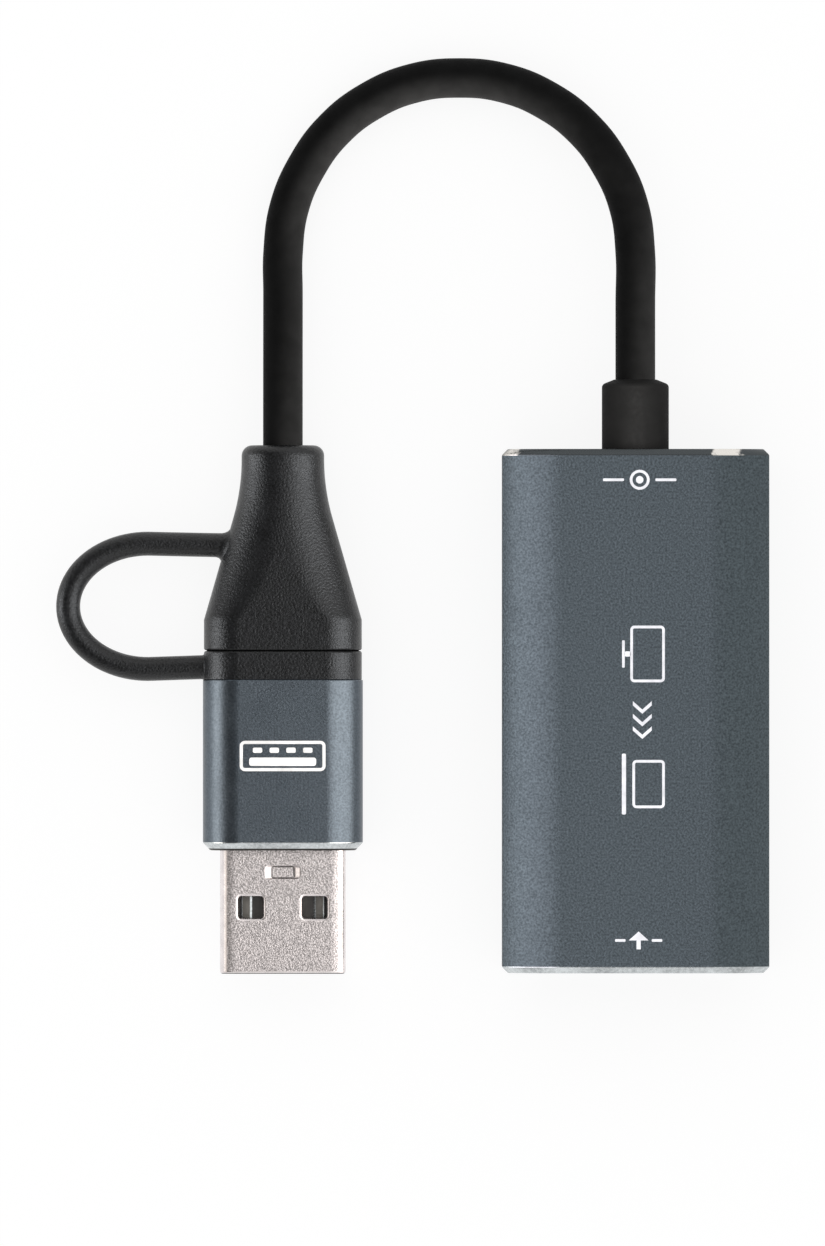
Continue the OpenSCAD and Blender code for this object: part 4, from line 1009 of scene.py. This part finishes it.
def type_a_shell():
    """Folded shell of the type A plug, with latch windows and a pressed bridge."""
    bm = bmesh.new()
    tip, rear = A_LOW.y, A_HIGH.y
    stations = [(A_WALL, tip + EDGE), (A_WALL - EDGE, tip)]
    for a in quarter(SMALL_ARC):
        stations.append((A_TIP_R * (1 - math.sin(a)), tip + A_TIP_R * (1 - math.cos(a))))
    stations += [(0, rear), (A_WALL, rear)]
    rings = [ring_y(folded(inset), y, PLUG_X, PLUG_Z) for inset, y in stations]
    outside, inside = len(stations) - 3, len(stations) - 1
    faces = (len(rings[0]) // 2 - 1, len(rings[0]) - 1)
    skipped = [(strip, i) for strip in (outside, inside) for i in faces]
    # Strips round the tip take the painted highlight and, at the very edge, the painted shade, as
    # A_FINISHES gives.
    skin(bm, rings, closed=True, skip=skipped, finish=A_FINISHES)
    roll_x = A_SIZE.x / 2 - A_ROLL_W
    # Faces on the rolled sides take the lighter nickel as a painted highlight.
    for face in bm.faces:
        if face.material_index == 0 and abs(face.calc_center_median().x - PLUG_X) > roll_x:
            face.material_index = 1

    def edge(start):
        x = roll_x - A_BEND_W
        return [flat(-x, start), flat(x, start), flat(x, rear), flat(-x, rear)]

    bridge_place = flat(0, SHELL_LOW.y - BRIDGE_Y)
    for face in (-1, 1):
        face_z = PLUG_Z + face * A_SIZE.z / 2

        def at(depth, face=face, face_z=face_z):
            return lambda p: Vector((PLUG_X + p.x, p.y, face_z - face * depth))

        holes, bores = [], []
        for side in (-1, 1):
            place = flat(side * WINDOW_X, tip + WINDOW_Y)
            loops = []
            for a in quarter(SMALL_ARC):
                grow = WINDOW_RIM * (1 - math.sin(a))
                loop = [place + p for p in slab(WINDOW_W, WINDOW_L, WINDOW_R, grow, FINE_ARC)]
                loops.append((loop, WINDOW_RIM * (1 - math.cos(a))))
            loops.append((loops[-1][0], A_WALL))
            outlines = [[at(depth)(p) for p in loop] for loop, depth in loops]
            # Window rims take the lighter nickel as a painted highlight.
            skin(bm, outlines, finish=[1] * SMALL_ARC + [0])
            holes.append(loops[0][0])
            bores.append(loops[-1][0])
        if face > 0:
            loops = bridge_loops(bridge_place)
            outlines = [[at(depth)(p) for p in loop] for loop, depth in loops]
            # The bridge's slopes take the painted highlight, and the slit round its floor the
            # painted shade.
            skin(bm, outlines, finish=[1] * BRIDGE_STEPS + [2] * 2)
            panel(bm, [loops[-1][0]], at(BRIDGE_DEPTH))
            holes.append(loops[0][0])
        sheet(bm, edge(tip + A_TIP_R), holes, at(0))
        panel(bm, [edge(tip + EDGE), *bores], at(A_WALL))
    return piece(
        bm, "type_a_sleeve", [NICKEL, NICKEL_HIGHLIGHT, PAINTED_SHADE_EDGE], ADAPTER,
        ["type_a_shell"],
    )


def type_a_contacts():
    """Four dull contact strips with bright sheared edges."""
    bm = bmesh.new()
    low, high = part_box("type_a_contacts")
    half_w, half_t = CONTACT_W / 2, (high - low).z / 2
    side = half_w - CONTACT_EDGE
    corners = [
        flat(half_w, -half_t), flat(half_w, half_t / 2), flat(side, half_t),
        flat(-side, half_t), flat(-half_w, half_t / 2), flat(-half_w, -half_t),
    ]
    flats = (2, len(corners) - 1)
    for x, start in CONTACT_PLACES:
        for mirror in (-1, 1):
            rows = []
            for y in (A_LOW.y + start, high.y):
                ring = ring_y(corners, y, PLUG_X + mirror * x, (low.z + high.z) / 2)
                rows.append([bm.verts.new(p) for p in ring])
            for i in range(len(corners)):
                k = (i + 1) % len(corners)
                face = bm.faces.new((rows[0][i], rows[0][k], rows[1][k], rows[1][i]))
                face.material_index = 0 if i in flats else 1
            for row in rows:
                bm.faces.new(row)
    return piece(
        bm, "contact_strips", [DULL_CONTACT, CUT], ADAPTER, ["type_a_contacts"],
        STRIP_SHARP,
    )


NODE_FINISHES = [
    (BLACK_PLATE, ["input_plate", "lead_plate", "adapter_core"]),
    (MASK, ["main_board", "plug_board", "adapter_board"]),
    (TONGUE, ["video_insulator"]),
    (PALE_GOLD, ["video_contacts"]),
    (CHIP, ["capture_chip", "memory_chip", "voltage_regulator"]),
    (SILICONE, ["thermal_pad"]),
    (PLATED, ["crystal", "type_c_shell", "socket_shell"]),
    (FERRITE, ["inductor"]),
    (CERAMIC, ["chip_capacitors"]),
    (JACKETS, ["cable_wires"]),
    (NATURAL, ["plug_core"]),
    (INSULATOR, ["type_c_insulator", "socket_insulator"]),
    (GOLD, ["type_c_contacts", "socket_contacts"]),
    (GREY_INSULATOR, ["type_a_insulator"]),
]


def dress_nodes():
    """Finish for each CAD node that shows as it is."""
    for material, names in NODE_FINISHES:
        for name in names:
            slots = frame["nodes"][name].data.materials
            slots.clear()
            slots.append(material)


def outlined(width, height, radius, line):
    """Rounded frame of a line's width."""
    return [slab(width, height, radius, 0, FINE_ARC), slab(width, height, radius, -line, FINE_ARC)]


def moved(loops, x, y):
    """Loops of a shape in another place."""
    return [[p + flat(x, y) for p in loop] for loop in loops]


def bar(x, y, width, height):
    """Filled bar with rounded ends round a point."""
    return moved([slab(width, height, min(width, height) * BAR_ROUND, 0, FINE_ARC)], x, y)


def chevron(x, y, reach, rise, line):
    """Chevron that points along +X from its place."""
    points = [(0, rise), (line, rise), (line + reach, 0), (line, -rise), (0, -rise), (reach, 0)]
    return moved([[flat(*p) for p in reversed(points)]], x, y)


def print_on(name, shapes, centre, body, slot, turned=False):
    """Thin pale print of flat shapes on a level surface."""
    bm = bmesh.new()

    def at(height):
        def place(p):
            spread = Vector((p.y, -p.x, 0)) if turned else Vector((p.x, p.y, 0))
            return centre + spread * MM + Vector((0, 0, height))
        return place

    heights = (-PRINT_SINK, PRINT_RISE)
    for loops in shapes:
        for height in heights:
            panel(bm, loops, at(height))
        for loop in loops:
            skin(bm, [[at(height)(p) for p in loop] for height in heights])
    return piece(bm, name, [PRINT], body)


def prints():
    """Plain pictograms where the box and the adapter carry print."""
    line = PRINT_LINE
    ring_mark = [circle(radius, MARK_SIDES) for radius in (MARK_R, MARK_R - line)]
    lead_mark = [ring_mark, [circle(DOT_R, DOT_SIDES)], bar(-2.5, 0, 2, line), bar(2.5, 0, 2, line)]
    input_mark = [[[flat(*p) for p in ARROW]], bar(-1.75, 0, 1, line), bar(1.75, 0, 1, line)]
    screen = moved(outlined(5.4, 3.3, 0.4, line), -6.2, 0.5)
    stand = [bar(-6.2, -1.4, 0.5, 0.6), bar(-6.2, -1.8, 2.6, line)]
    link = [chevron(x, 0, 0.8, 0.9, 0.4) for x in (-1.7, -0.5, 0.7)]
    laptop = [moved(outlined(4.6, 3.1, 0.4, line), 6.2, 0.6), bar(6.2, -1.75, 5.8, 0.4)]
    middle_mark = [screen, *stand, *link, *laptop]
    plug_mark = [outlined(8.2, 2.9, 0.5, 0.3), bar(0, -0.55, 6.4, 0.8)]
    plug_mark += [bar(x, 0.55, 0.9, 0.5) for x in (-2.4, -0.8, 0.8, 2.4)]
    lead_at, middle_at, input_at = (Vector((*place, CASE_HIGH.z)) for place in PRINT_PLACES)
    plug_at = Vector((PLUG_X, PLUG_PRINT_Y, SHELL_HIGH.z))
    on_case = (BOX, "anodised_sleeve")
    return [
        print_on("lead_print", lead_mark, lead_at, *on_case),
        print_on("middle_print", middle_mark, middle_at, *on_case, turned=True),
        print_on("input_print", input_mark, input_at, *on_case),
        print_on("plug_print", plug_mark, plug_at, ADAPTER, "anodised_adapter"),
    ]


def gathered(name, objects):
    """Collection that a lamp's light is kept to."""
    group = bpy.data.collections.new(name)
    for obj in objects:
        group.objects.link(obj)
    return group


def lamp(name, target, way, spread, radiance, colour, lit, shaded_by=()):
    """Soft lamp for some pieces, given by its direction and its half angles along and across."""
    light = bpy.data.lights.new(name, "AREA")
    light.shape = "RECTANGLE"
    light.size, light.size_y = (2 * LAMP_REACH * math.tan(math.radians(a)) for a in spread)
    light.energy = radiance * math.pi * light.size * light.size_y
    light.color = colour
    obj = added(name, light)
    way = Vector(way).normalized()
    obj.location = Vector(target) + way * LAMP_REACH
    obj.rotation_euler = (-way).to_track_quat("-Z", "Y").to_euler()
    obj.visible_camera = False
    obj.light_linking.receiver_collection = gathered(name, lit)
    if shaded_by:
        obj.light_linking.blocker_collection = gathered(name + "_shade", shaded_by)
    return obj


def tilted(angle):
    """Direction that leans from overhead to the right by an angle."""
    return (math.sin(math.radians(angle)), 0, math.cos(math.radians(angle)))


def seen_ray(tree):
    """One for the rays that show a background: camera, glossy and transmission."""
    path = node(tree, "LightPath").outputs
    total = path["Is Camera Ray"]
    for name in ("Is Glossy Ray", "Is Transmission Ray"):
        both = node(tree, "Math", (0, total), (1, path[name]), operation="MAXIMUM")
        total = both.outputs["Value"]
    return total


def world():
    """White surroundings; what gloss shows of them is greyer overhead on the left."""
    made = bpy.data.worlds.new("studio")
    bpy.context.scene.world = made
    made.use_nodes = True
    tree = made.node_tree
    way = node(tree, "SeparateXYZ", ("Vector", node(tree, "TexCoord").outputs["Generated"])).outputs
    across = node(tree, "MapRange", ("From Min", -1), ("Value", way["X"]))
    stops = [((x + 1) / 2, [level] * 3) for x, level in GLOSS_SKY]
    levels = ramped(tree, across.outputs["Result"], stops)
    along = node(tree, "Math", (0, way["Y"]), operation="ABSOLUTE").outputs["Value"]
    start, end = GLOSS_RIM
    rim = node(tree, "MapRange", ("From Min", start), ("From Max", end), ("Value", along))
    sky = mixed(tree, rim.outputs["Result"], levels, 1.0)
    path = node(tree, "LightPath").outputs
    gloss = mixed(tree, path["Is Glossy Ray"], FILL, sky)
    seen = mixed(tree, path["Is Transmission Ray"], gloss, 1.0)
    strength = mixed(tree, path["Is Camera Ray"], seen, 1.0)
    tree.links.new(strength, tree.nodes["Background"].inputs["Strength"])
    tree.nodes["Background"].inputs["Color"].default_value = (1, 1, 1, 1)


def floor():
    """White floor that keeps a pale shadow."""
    bm = bmesh.new()
    bmesh.ops.create_grid(bm, x_segments=1, y_segments=1, size=FLOOR_HALF)
    mesh = bpy.data.meshes.new("floor")
    bm.to_mesh(mesh)
    bm.free()
    obj = added("floor", mesh)
    obj.location.z = CAD_LOW.z - EDGE
    material = bpy.data.materials.new("floor")
    material.use_nodes = True
    tree = material.node_tree
    tree.nodes.remove(tree.nodes["Principled BSDF"])
    bounce = node(tree, "BsdfDiffuse", ("Color", (*[FLOOR_BOUNCE] * 3, 1))).outputs["BSDF"]
    shade = node(tree, "BsdfDiffuse", ("Color", (*[FLOOR_SHADE] * 3, 1))).outputs["BSDF"]
    glow = node(tree, "Emission", ("Strength", 1 - FLOOR_SHADE * FILL)).outputs["Emission"]
    seen = node(tree, "AddShader", (0, shade), (1, glow)).outputs["Shader"]
    mix = node(tree, "MixShader", ("Fac", seen_ray(tree)), (1, bounce), (2, seen))
    tree.links.new(mix.outputs["Shader"], tree.nodes["Material Output"].inputs["Surface"])
    mesh.materials.append(material)
    return obj


def camera():
    """Long lens straight above the object."""
    data = bpy.data.cameras.new("camera")
    data.lens = LENS
    data.sensor_width = SENSOR
    obj = added("camera", data)
    distance = VIEW_HEIGHT * LENS / SENSOR
    obj.location = VIEW_CENTRE + Vector((0, 0, distance))
    data.clip_start, data.clip_end = distance / CLIP_SHARE, distance * CLIP_SHARE
    bpy.context.scene.camera = obj


camera()
world()
ground = floor()

dress_nodes()
case = sleeve()
socket = video_shell()
marks = prints()
lead_collar = collar()
lead = cable()
lead_boot = boot()
loop = tether()
lead_ring = ring()
lead_shell = adapter_shell()
plug = type_a_shell()
contacts = type_a_contacts()

ON_LEAD = [
    "plug_core", "plug_board", "type_c_shell", "type_c_insulator", "type_c_contacts",
    "adapter_core", "adapter_board", "socket_shell", "socket_insulator", "socket_contacts",
    "type_a_insulator",
]

ON_CASE = ["input_plate", "lead_plate", "video_insulator", "video_contacts"]
case_pieces = [case, socket, *marks[:3]] + [frame["nodes"][name] for name in ON_CASE]
plug_pieces = [plug, contacts] + [frame["nodes"][name] for name in ON_LEAD]
rubber_pieces = [lead_boot, loop, lead_ring]
rubber_shade = [lead_boot, lead_ring]
CASE_TOP = (0, 0, CASE_HIGH.z)
PLUG_TOP = (PLUG_X, 0, SHELL_HIGH.z)
LEAD_MIDDLE = (PLUG_X / 2, 0.04, 0)
COLLAR_TOP = (0, 0.028, 0.006)
LOW_FRONT = (0.42, -0.9, 0.2)
COOL = (0.93, 0.96, 1)
NEUTRAL = (1, 0.97, 0.94)
ROSE = (1, 0.95, 1)
WARM = (1, 0.93, 0.85)
lamp("case_left", CASE_TOP, tilted(-45), (35, 38), 2.3, ROSE, case_pieces)
lamp("adapter_right", PLUG_TOP, tilted(54), (35, 42), 2.7, WARM, [lead_shell, marks[3]])
lamp("adapter_left", PLUG_TOP, tilted(-78), (35, 18), 3.4, WARM, [lead_shell, marks[3]])
lamp("plug_right", PLUG_TOP, tilted(62), (35, 28), 2.4, WARM, plug_pieces)
lamp("plug_top", PLUG_TOP, tilted(12), (35, 20), 0.55, NEUTRAL, plug_pieces)
lamp("plug_left", PLUG_TOP, tilted(-52), (30, 14), 1, WARM, plug_pieces)
lamp("rubber_right", PLUG_TOP, tilted(52), (7, 28), 6.6, COOL, rubber_pieces)
lamp("rubber_left", PLUG_TOP, tilted(-78), (7, 18), 6.9, COOL, rubber_pieces, rubber_shade)
lead_key = lamp("lead_key", LEAD_MIDDLE, LOW_FRONT, (12, 12), 120, NEUTRAL, [lead], [ground])
lamp("collar_top", COLLAR_TOP, tilted(2), (20, 15), 25, NEUTRAL, [lead_collar])
case.visible_glossy = lead_key.visible_glossy = False

bpy.context.scene.view_settings.view_transform = "Standard"
